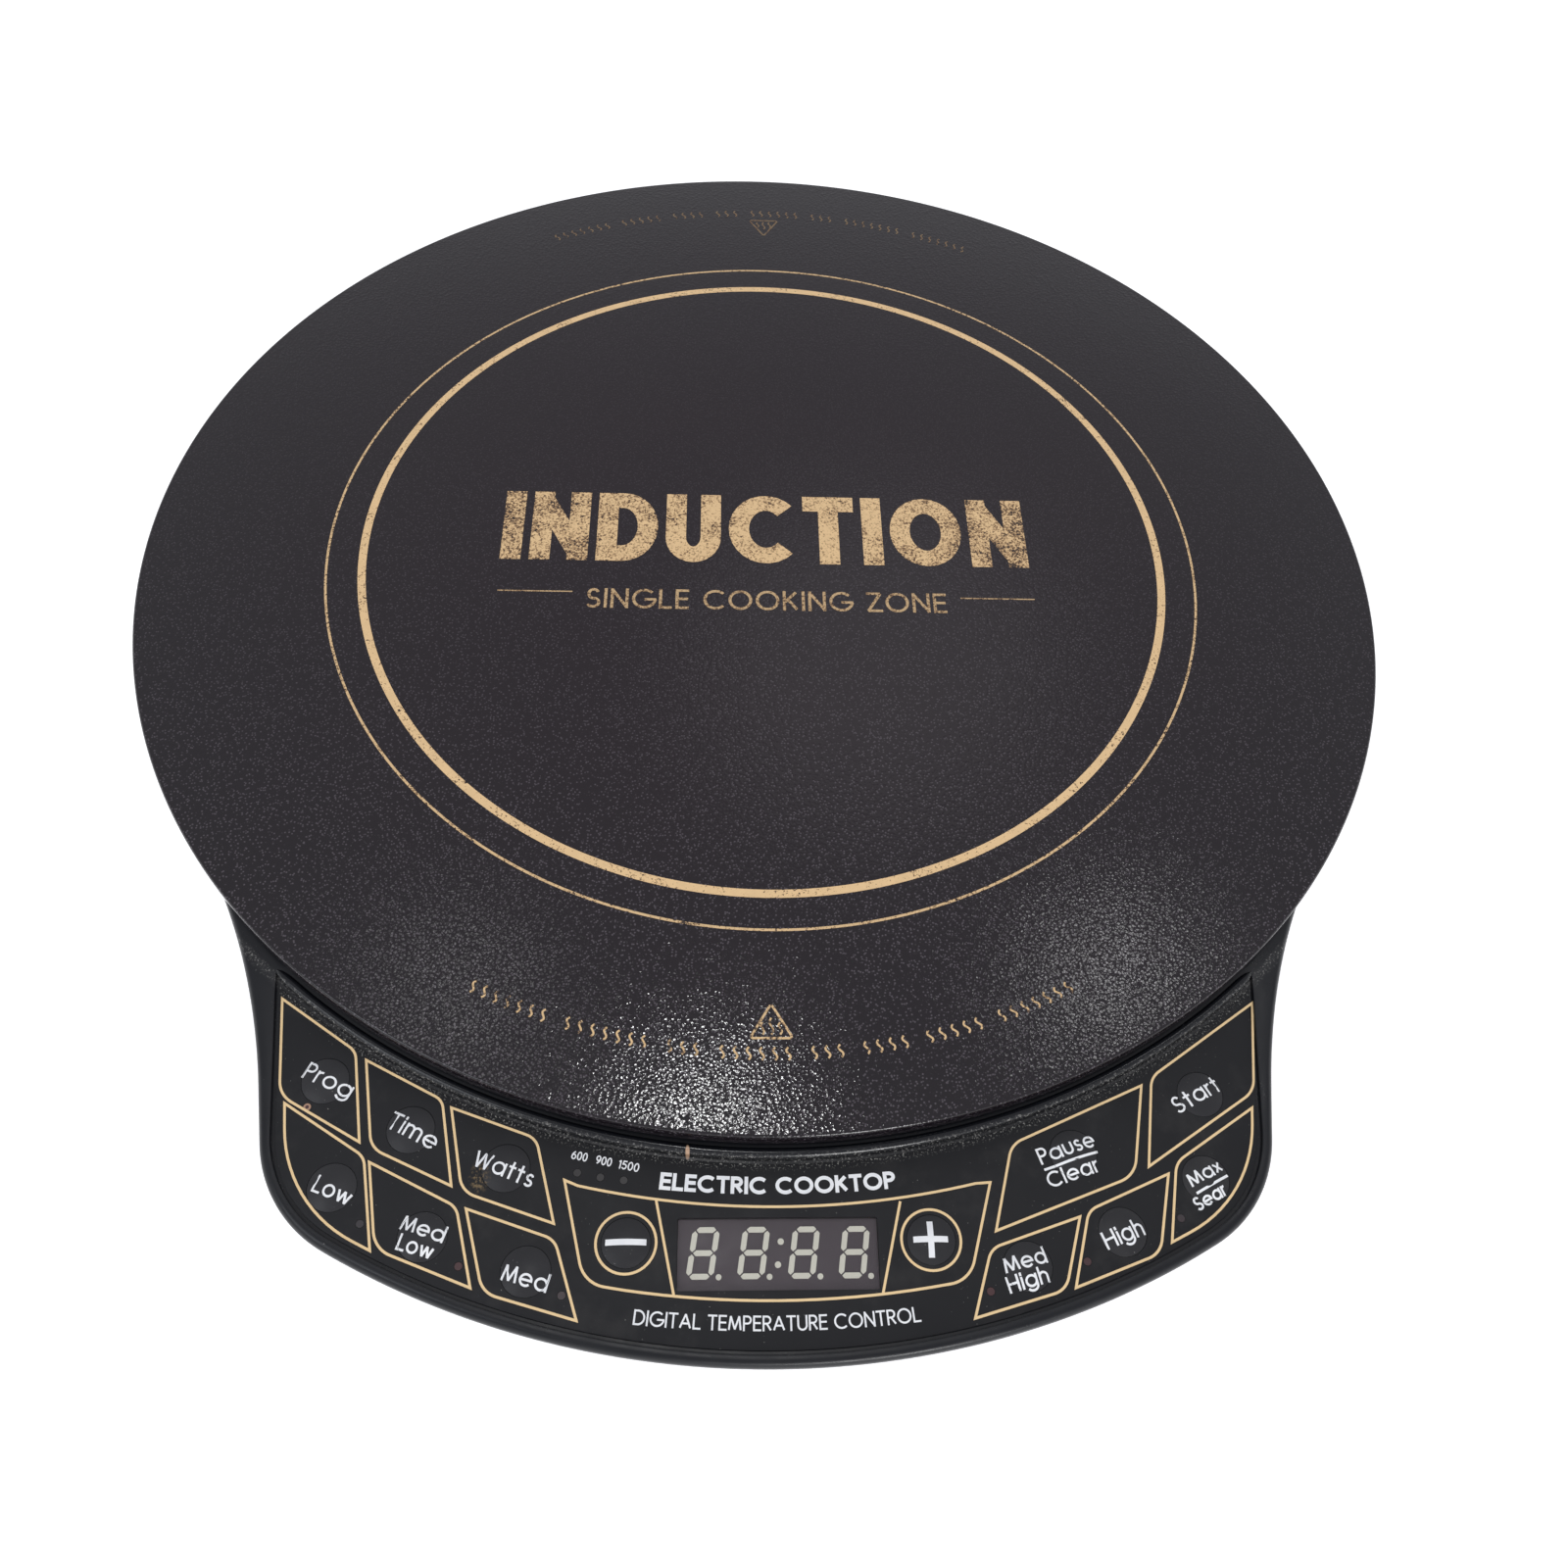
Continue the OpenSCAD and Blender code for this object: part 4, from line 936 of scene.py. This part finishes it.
def lettering(text, cap, span, width, gap=0.2, space=0.34):
    """Stroke quads of a line of letters in (along, up) millimetres, span wide and cap high."""
    x, strokes = 0.0, []
    for ch in text:
        if ch == " ":
            x += space
            continue
        advance, lines = FONT[ch]
        strokes += [[(x + px, py) for px, py in line] for line in lines]
        x += advance + gap
    total = x - gap
    sx, sy = (span - width) / total, cap - width
    quads = []
    for line in strokes:
        p = [np.array([width / 2 + px * sx, width / 2 + py * sy]) for px, py in line]
        if np.linalg.norm(p[0] - p[-1]) > 1e-6:
            for end, near in ((0, 1), (-1, -2)):
                d = p[end] - p[near]
                if min(abs(d)) < 1e-6:
                    p[end] = p[end] + d / np.linalg.norm(d) * width / 2
            quads += ribbon(p, width)
        else:
            quads += ribbon(p[:-1], width, closed=True)
    return quads


def placed(quads, start, slope):
    """Moves a line of letters to its start and turns it to its slope."""
    c, s = math.cos(math.radians(slope)), math.sin(math.radians(slope))
    return [[(start[0] + c * u - s * v, start[1] + s * u + c * v) for u, v in q] for q in quads]


def curved(quads, centre, radius, span, at=-90.0):
    """Bends a line of letters round a circle, its middle at the given angle."""
    out = []
    for q in quads:
        poly = []
        for u, v in q:
            a = math.radians(at) + (u - span / 2) / radius
            r = radius - v
            poly.append((centre[0] + r * math.cos(a), centre[1] + r * math.sin(a)))
        out.append(poly)
    return out


def flat(z):
    return lambda x, y: z


def band(name, r, width, material):
    """Printed ring on the glass."""
    s = Solid()
    inner, outer = r - width / 2, r + width / 2
    top = GLASS_TOP + INK_RISE
    low = top - 0.05
    section = [(inner, low), (outer, low), (outer, top), (inner, top)]
    rings = [s.ring(circle((0, 0), q, 360), z) for q, z in section]
    s.walls(*rings, rings[0])
    piece(name, s, material)


def centre_mark():
    """The word in the middle, clipped to its own box so that slanted strokes end level."""
    lo, hi, left, right = -6.5, 17.0, -67.5, 67.5
    word = lettering("INDUCTION", hi - lo, right - left, 5.2, gap=0.52)
    ink(
        "centre_mark", placed(word, (left, lo), 0), flat(GLASS_TOP), MARK_INK,
        loops=[[(left, lo), (right, lo), (right, hi), (left, hi)]],
        keep=lambda x, y: left < x < right and lo < y < hi,
    )


def centre_line():
    """Small line of letters between two rules."""
    letters = lettering("SINGLE COOKING ZONE", 6.3, 90, 0.75, gap=0.3, space=0.5)
    line = placed(letters, (-45, -22), 0)
    line += ribbon([(-67, -16.9), (-48.5, -16.9)], 0.35)
    line += ribbon([(48.6, -17.1), (67.6, -17.1)], 0.35)
    ink("centre_line", line, flat(GLASS_TOP), LINE_INK)


def heat_wave(x, low, high, swing, width):
    """Stroke of one upright wave."""
    steps = 12
    points = []
    for j in range(steps + 1):
        points.append((x + swing * math.sin(2 * math.pi * j / steps), low + (high - low) * j / steps))
    return ribbon(points, width)


def heat_sign():
    """Triangle at the front of the glass with three waves in it."""
    middle, low, high = -0.7, -134.0, -130.4
    corners = [(-5.1, -134.8, 0.4), (3.7, -134.8, 0.4), (-0.7, -127.3, 0.4)]
    sign = ribbon(rounded(corners), 0.5, closed=True)
    for x, top in ((-2.5, high - 1), (middle, high), (1.1, high - 1)):
        sign += heat_wave(x, low, top, 0.35, 0.4)
    return sign


def heat_marks(name, turn, material):
    """Row of waves, in groups as words are, round the front or the rear, with its sign."""
    groups = [7, 7, 3, 6, 3, 4, 5, 7]
    places = sum(groups) + len(groups) - 1
    radius, reach = 139.5, 27.2
    quads = []
    k = 0
    for size in groups:
        for _ in range(size):
            a = -90 + turn - reach + 2 * reach * (k + 0.5) / places
            quads += curved(heat_wave(0, 0, 2.7, 0.42, 0.42), (0, 0), radius, 0, a)
            k += 1
        k += 1
    flip = -1 if turn else 1
    quads += [[(flip * x, flip * y) for x, y in q] for q in heat_sign()]
    ink(name, quads, flat(GLASS_TOP), material)


def glass_prints():
    band("gold_ring_wide", 101.6, 2.0, RING_INK)
    band("gold_ring_fine", 110.3, 0.6, THIN_INK)
    centre_mark()
    centre_line()
    heat_marks("front_heat_marks", 0, THIN_INK)
    heat_marks("rear_heat_marks", 180, FAINT_INK)


# Corners of the gold outline of each key: x, y and radius
LEAVES = {
    "prog": [(-101.9, -123.9, 0), (-85.2, -135.4, 4), (-81.7, -154.2, 0), (-98.8, -144.6, 6)],
    "time": [(-82.8, -137.3, 0), (-66.6, -145.7, 3.5), (-62.9, -162.9, 0), (-79.3, -155.4, 5)],
    "watts": [(-64.6, -147.3, 0), (-47.3, -153.6, 4), (-42.7, -170.2, 0), (-60.8, -164.0, 5)],
    "low": [(-97.5, -146.3, 0), (-80.4, -157.1, 4), (-76.7, -175.0, 0), (-94.0, -166.5, 30)],
    "med_low": [(-79.2, -158.2, 0), (-61.5, -166.9, 4), (-57.3, -181.9, 0), (-75.9, -174.7, 6)],
    "med": [(-59.6, -167.3, 0), (-42.3, -173.2, 4), (-37.3, -187.9, 0), (-55.0, -182.8, 5)],
    "pause_clear": [(75.8, -143.0, 0), (71.5, -161.6, 6), (42.5, -172.2, 0), (47.4, -155.2, 5)],
    "start": [(103.0, -124.6, 0), (99.2, -144.3, 6), (74.6, -159.8, 0), (78.2, -141.2, 5)],
    "max_sear": [(98.1, -147.8, 0), (94.5, -166.2, 30), (76.7, -174.6, 0), (80.3, -159.0, 5)],
    "high": [(78.3, -161.3, 0), (74.1, -176.7, 5), (56.7, -182.9, 0), (61.2, -168.4, 4)],
    "med_high": [(59.3, -169.6, 0), (54.8, -183.3, 4.5), (36.9, -188.2, 0), (41.2, -175.5, 4)],
}


def display_block():
    """Corners of the outline round the minus key, the display and the plus key."""
    upper = arc(np.array([0.4, 11.3]), 178.6, -90 - 13.5, -90 + 13.5, 30)
    lower = arc(np.array([0.1, 12.9]), 197.6, -90 + 8.4, -90 - 8.4, 16)
    block = [(-41.2, -161.9, 0)]
    block += [(x, y, 0) for x, y in upper if -40 < x < 41]
    block += [(42.3, -162.8, 0), (36.6, -181.4, 6)]
    block += [(x, y, 0) for x, y in lower]
    block += [(-36.4, -181.3, 6)]
    return block


def gold_outlines():
    quads = []
    for corners in (*LEAVES.values(), display_block()):
        quads += ribbon(rounded(corners), GOLD_W, closed=True, limit=3)
    quads += ribbon([(-23.3, -165.9), (-19.5, -183.5)], GOLD_W)
    quads += ribbon([(24.2, -166.4), (19.8, -183.7)], GOLD_W)
    for name in ("minus", "plus"):
        quads += ribbon(circle(spot(*KEYS[name]), 5.75, 48), GOLD_W, closed=True)
    ink("gold_outlines", quads, flat(FILM_Z), PANEL_INK)


def legend(name, quads):
    """A key's words: what lies on the dome moves with the key, and the rest stays on the film."""
    c = spot(*KEYS[name])
    loops = [circle(c, r, 32) for r in (DOME_R, 4.2, 3.6, 3.0, 2.4, 1.8, 1.2, 0.6, HOLE_R)]

    def away(x, y):
        return math.hypot(x - c[0], y - c[1])

    def height(x, y):
        return dome_z(away(x, y) - 0.01)

    ink(
        f"{name}_legend_on_dome", quads, height, WHITE_INK, f"{name}_key", loops,
        keep=lambda x, y: away(x, y) < DOME_R - 0.01,
    )
    ink(
        f"{name}_legend_on_film", quads, flat(FILM_Z), WHITE_INK, loops=loops,
        keep=lambda x, y: away(x, y) > HOLE_R - 0.03,
    )


# A key's lines of letters: text, start, slope, cap height and span
WORDS = {
    "prog": [("Prog", (-95.2, -140.9), -25, 3.6, 10.9)],
    "time": [("Time", (-77.1, -151.2), -26, 3.6, 10.9)],
    "watts": [("Watts", (-59.5, -159.0), -20.5, 3.5, 12.6)],
    "low": [("Low", (-89.5, -163.8), -22, 3.4, 7.9)],
    "med_low": [
        ("Med", (-71.9, -171.2), -17, 3.1, 8.9),
        ("Low", (-72.1, -174.8), -17, 3.1, 7.2),
    ],
    "med": [("Med", (-52.0, -180.7), -14.5, 3.3, 9.0)],
    "pause_clear": [
        ("Pause", (53.0, -159.4), 18, 3.3, 12.2),
        ("Clear", (54.2, -164.1), 18, 3.1, 11.2),
    ],
    "start": [("Start", (82.6, -149.1), 27, 3.5, 11.1)],
    "max_sear": [
        ("Max", (82.6, -164.3), 27, 2.9, 7.9),
        ("Sear", (83.1, -168.8), 27, 2.7, 7.4),
    ],
    "high": [("High", (63.9, -176.0), 20, 3.4, 8.4)],
    "med_high": [
        ("Med", (43.6, -180.4), 14.5, 3.1, 8.6),
        ("High", (44.0, -183.9), 14.5, 3.1, 8.2),
    ],
}
# The rule between the two words of a key
RULES = {
    "pause_clear": [(53.4, -160.4), (64.6, -156.8)],
    "max_sear": [(83.2, -165.3), (90.2, -161.7)],
}


def key_legends():
    for name, lines in WORDS.items():
        quads = []
        for text, start, slope, cap, span in lines:
            quads += placed(lettering(text, cap, span, 0.43, gap=0.27), start, slope)
        if name in RULES:
            quads += ribbon(RULES[name], 0.5)
        legend(name, quads)
    x, y = spot(*KEYS["minus"])
    legend("minus", ribbon([(x - 3.9, y), (x + 3.9, y)], SIGN_W))
    x, y = spot(*KEYS["plus"]) - (0.15, 0.05)
    across = ribbon([(x - 3.35, y), (x + 3.35, y)], SIGN_W)
    legend("plus", across + ribbon([(x, y - 3.4), (x, y + 3.4)], SIGN_W))


def panel_lines():
    """The lines above and below the display, and the numbers over the power lamps."""
    film = flat(FILM_Z)
    span = 46.6
    title = lettering("ELECTRIC COOKTOP", 3.4, span, 0.72, gap=0.3, space=0.45)
    ink("panel_title", curved(title, (0.4, 85), 249.9, span), film, WHITE_INK)
    span = 53.8
    lower = lettering("DIGITAL TEMPERATURE CONTROL", 2.75, span, 0.34, gap=0.24, space=0.42)
    ink("panel_subtitle", curved(lower, (-0.1, 70), 260.1, span), film, WHITE_INK)
    small = []
    numbers = [("600", -40.3, -157.7, 3.2), ("900", -35.5, -158.7, 3.2), ("1500", -31.1, -159.6, 4.2)]
    for text, x, y, span in numbers:
        small += placed(lettering(text, 1.75, span, 0.25, gap=0.26), (x, y), -12)
    ink("power_numbers", small, film, WHITE_INK)


glass_plate()
gasket()
top_housing()
ridge()
screw_bosses()
overlay_film()
key_pieces()
digit_bars()
display_lens()
glass_prints()
gold_outlines()
key_legends()
panel_lines()


# The CAD nodes that stay get better materials: colour, roughness, metal, grain and its depth

CAD_PAINT = {
    "seal_rubber": ((0.018, 0.018, 0.019), 0.6, 0.0, 0.5, 0.02),
    "display_body": ((0.06, 0.049, 0.057), 0.5, 0.0, 0.3, 0.01),
    "circuit_board": ((0.02, 0.1, 0.035), 0.4, 0.0, 1.2, 0.02),
    "dark_plastic": ((0.02, 0.02, 0.022), 0.48, 0.0, 0.5, 0.02),
    "bare_aluminium": ((0.75, 0.76, 0.78), 0.38, 1.0, 0.3, 0.012),
    "yellow_plastic": ((0.6, 0.42, 0.08), 0.45, 0.0, 0.6, 0.015),
    "can_sleeve": ((0.02, 0.035, 0.1), 0.35, 0.0, 0.8, 0.01),
    "copper_wire": ((0.62, 0.3, 0.16), 0.4, 1.0, 0.35, 0.05),
    "ferrite": ((0.03, 0.03, 0.032), 0.6, 0.3, 0.6, 0.03),
    "clear_tube": ((0.75, 0.8, 0.78), 0.12, 0.0, 0.8, 0.004),
    "blue_coat": ((0.03, 0.1, 0.35), 0.4, 0.0, 0.6, 0.03),
    "mica": ((0.55, 0.48, 0.36), 0.5, 0.0, 2.5, 0.02),
    "white_ceramic": ((0.8, 0.79, 0.75), 0.5, 0.0, 0.5, 0.015),
    "red_sleeve": ((0.45, 0.03, 0.03), 0.5, 0.0, 0.5, 0.02),
    "light_sleeve": ((0.7, 0.69, 0.66), 0.5, 0.0, 0.5, 0.02),
    "dark_sleeve": ((0.03, 0.03, 0.03), 0.5, 0.0, 0.5, 0.02),
    "brass_metal": ((0.7, 0.5, 0.2), 0.35, 1.0, 0.4, 0.01),
    "white_plastic": ((0.78, 0.77, 0.73), 0.45, 0.0, 0.6, 0.012),
    "bright_steel": ((0.62, 0.62, 0.64), 0.3, 1.0, 0.3, 0.008),
    "foot_rubber": ((0.022, 0.022, 0.023), 0.75, 0.0, 0.6, 0.05),
}
for name, look in CAD_PAINT.items():
    plain(name, *look)
welded("base_shell", "bottom_housing", BASE)
welded("gland_body", "cord_gland", bpy.data.materials["seal_rubber"])
welded("rubber_feet", "feet", bpy.data.materials["foot_rubber"])

# Floor, light and camera


def floor():
    half = 6.0
    corners = [(-half, -half, 0), (half, -half, 0), (half, half, 0), (-half, half, 0)]
    mesh = bpy.data.meshes.new("floor")
    mesh.from_pydata(corners, [], [(0, 1, 2, 3)])
    obj = bpy.data.objects.new("floor", mesh)
    p = Paint("pale_floor", 0.7)
    p.set("Base Color", p.mix(p.noise(400, 2), (0.9, 0.9, 0.9), (0.93, 0.93, 0.93)))
    p.set("Emission Color", (1.0, 1.0, 1.0))
    p.set("Emission Strength", 0.55)
    # seen from below, the floor is clear, so that the underside of the object shows
    facing = p.tree.nodes.new("ShaderNodeNewGeometry")
    clear = p.tree.nodes.new("ShaderNodeBsdfTransparent")
    either = p.tree.nodes.new("ShaderNodeMixShader")
    p.tree.links.new(facing.outputs["Backfacing"], either.inputs[0])
    p.tree.links.new(p.bsdf.outputs[0], either.inputs[1])
    p.tree.links.new(clear.outputs[0], either.inputs[2])
    p.tree.links.new(either.outputs[0], p.tree.nodes["Material Output"].inputs[0])
    mesh.materials.append(p.mat)
    bpy.context.scene.collection.objects.link(obj)


def area(name, place, target, size, power, colour=(1, 1, 1)):
    """Round light that faces its target, in metres and watts."""
    data = bpy.data.lights.new(name, "AREA")
    data.shape = "DISK"
    data.size = size
    data.energy = power
    data.color = colour
    obj = bpy.data.objects.new(name, data)
    obj.location = place
    obj.rotation_euler = (Vector(target) - Vector(place)).to_track_quat("-Z", "Y").to_euler()
    bpy.context.scene.collection.objects.link(obj)


def studio():
    """A dim ceiling above bright walls."""
    world = bpy.data.worlds.new("studio")
    bpy.context.scene.world = world
    world.use_nodes = True
    tree = world.node_tree
    back = tree.nodes["Background"]
    back.inputs["Strength"].default_value = 1.0
    place = tree.nodes.new("ShaderNodeTexCoord")
    parts = tree.nodes.new("ShaderNodeSeparateXYZ")
    ramp = tree.nodes.new("ShaderNodeValToRGB")
    tree.links.new(place.outputs["Generated"], parts.inputs[0])
    tree.links.new(parts.outputs[2], ramp.inputs[0])
    tree.links.new(ramp.outputs[0], back.inputs[0])
    wall, ceiling = ramp.color_ramp.elements
    wall.position, wall.color = 0.1, (1.3, 1.32, 1.35, 1)
    ceiling.position, ceiling.color = 0.55, (0.5, 0.5, 0.53, 1)


def lights():
    area("key_light", (-0.035, 0.19, 1.56), (0, -0.05, 0), 0.08, 1.15)
    area("side_light", (0.61, 0.46, 1.56), (0, -0.05, 0), 0.12, 0.3)
    area("left_spark", (-0.42, 0.42, 1.56), (0, -0.05, 0), 0.12, 0.12)
    area("front_light", (0.3, -1.2, 0.6), (0, -0.15, 0.05), 0.4, 5)
    area("rear_light", (0.27, 1.07, 1.56), (0, 0, 0), 0.7, 0.3)
    area("left_light", (-0.9, -0.5, 1.2), (0, 0, 0), 0.8, 3.0, (0.9, 0.95, 1.0))


def camera():
    data = bpy.data.cameras.new("camera")
    data.lens = 31.213
    data.sensor_width = 36
    data.clip_start = 0.01
    obj = bpy.data.objects.new("camera", data)
    obj.location = (-0.0126, -0.2204, 0.3239)
    obj.rotation_euler = Euler([math.radians(a) for a in (32.780, -2.718, -1.121)], "XYZ")
    bpy.context.scene.collection.objects.link(obj)
    bpy.context.scene.camera = obj


floor()
studio()
lights()
camera()
bpy.context.scene.view_settings.view_transform = "Standard"
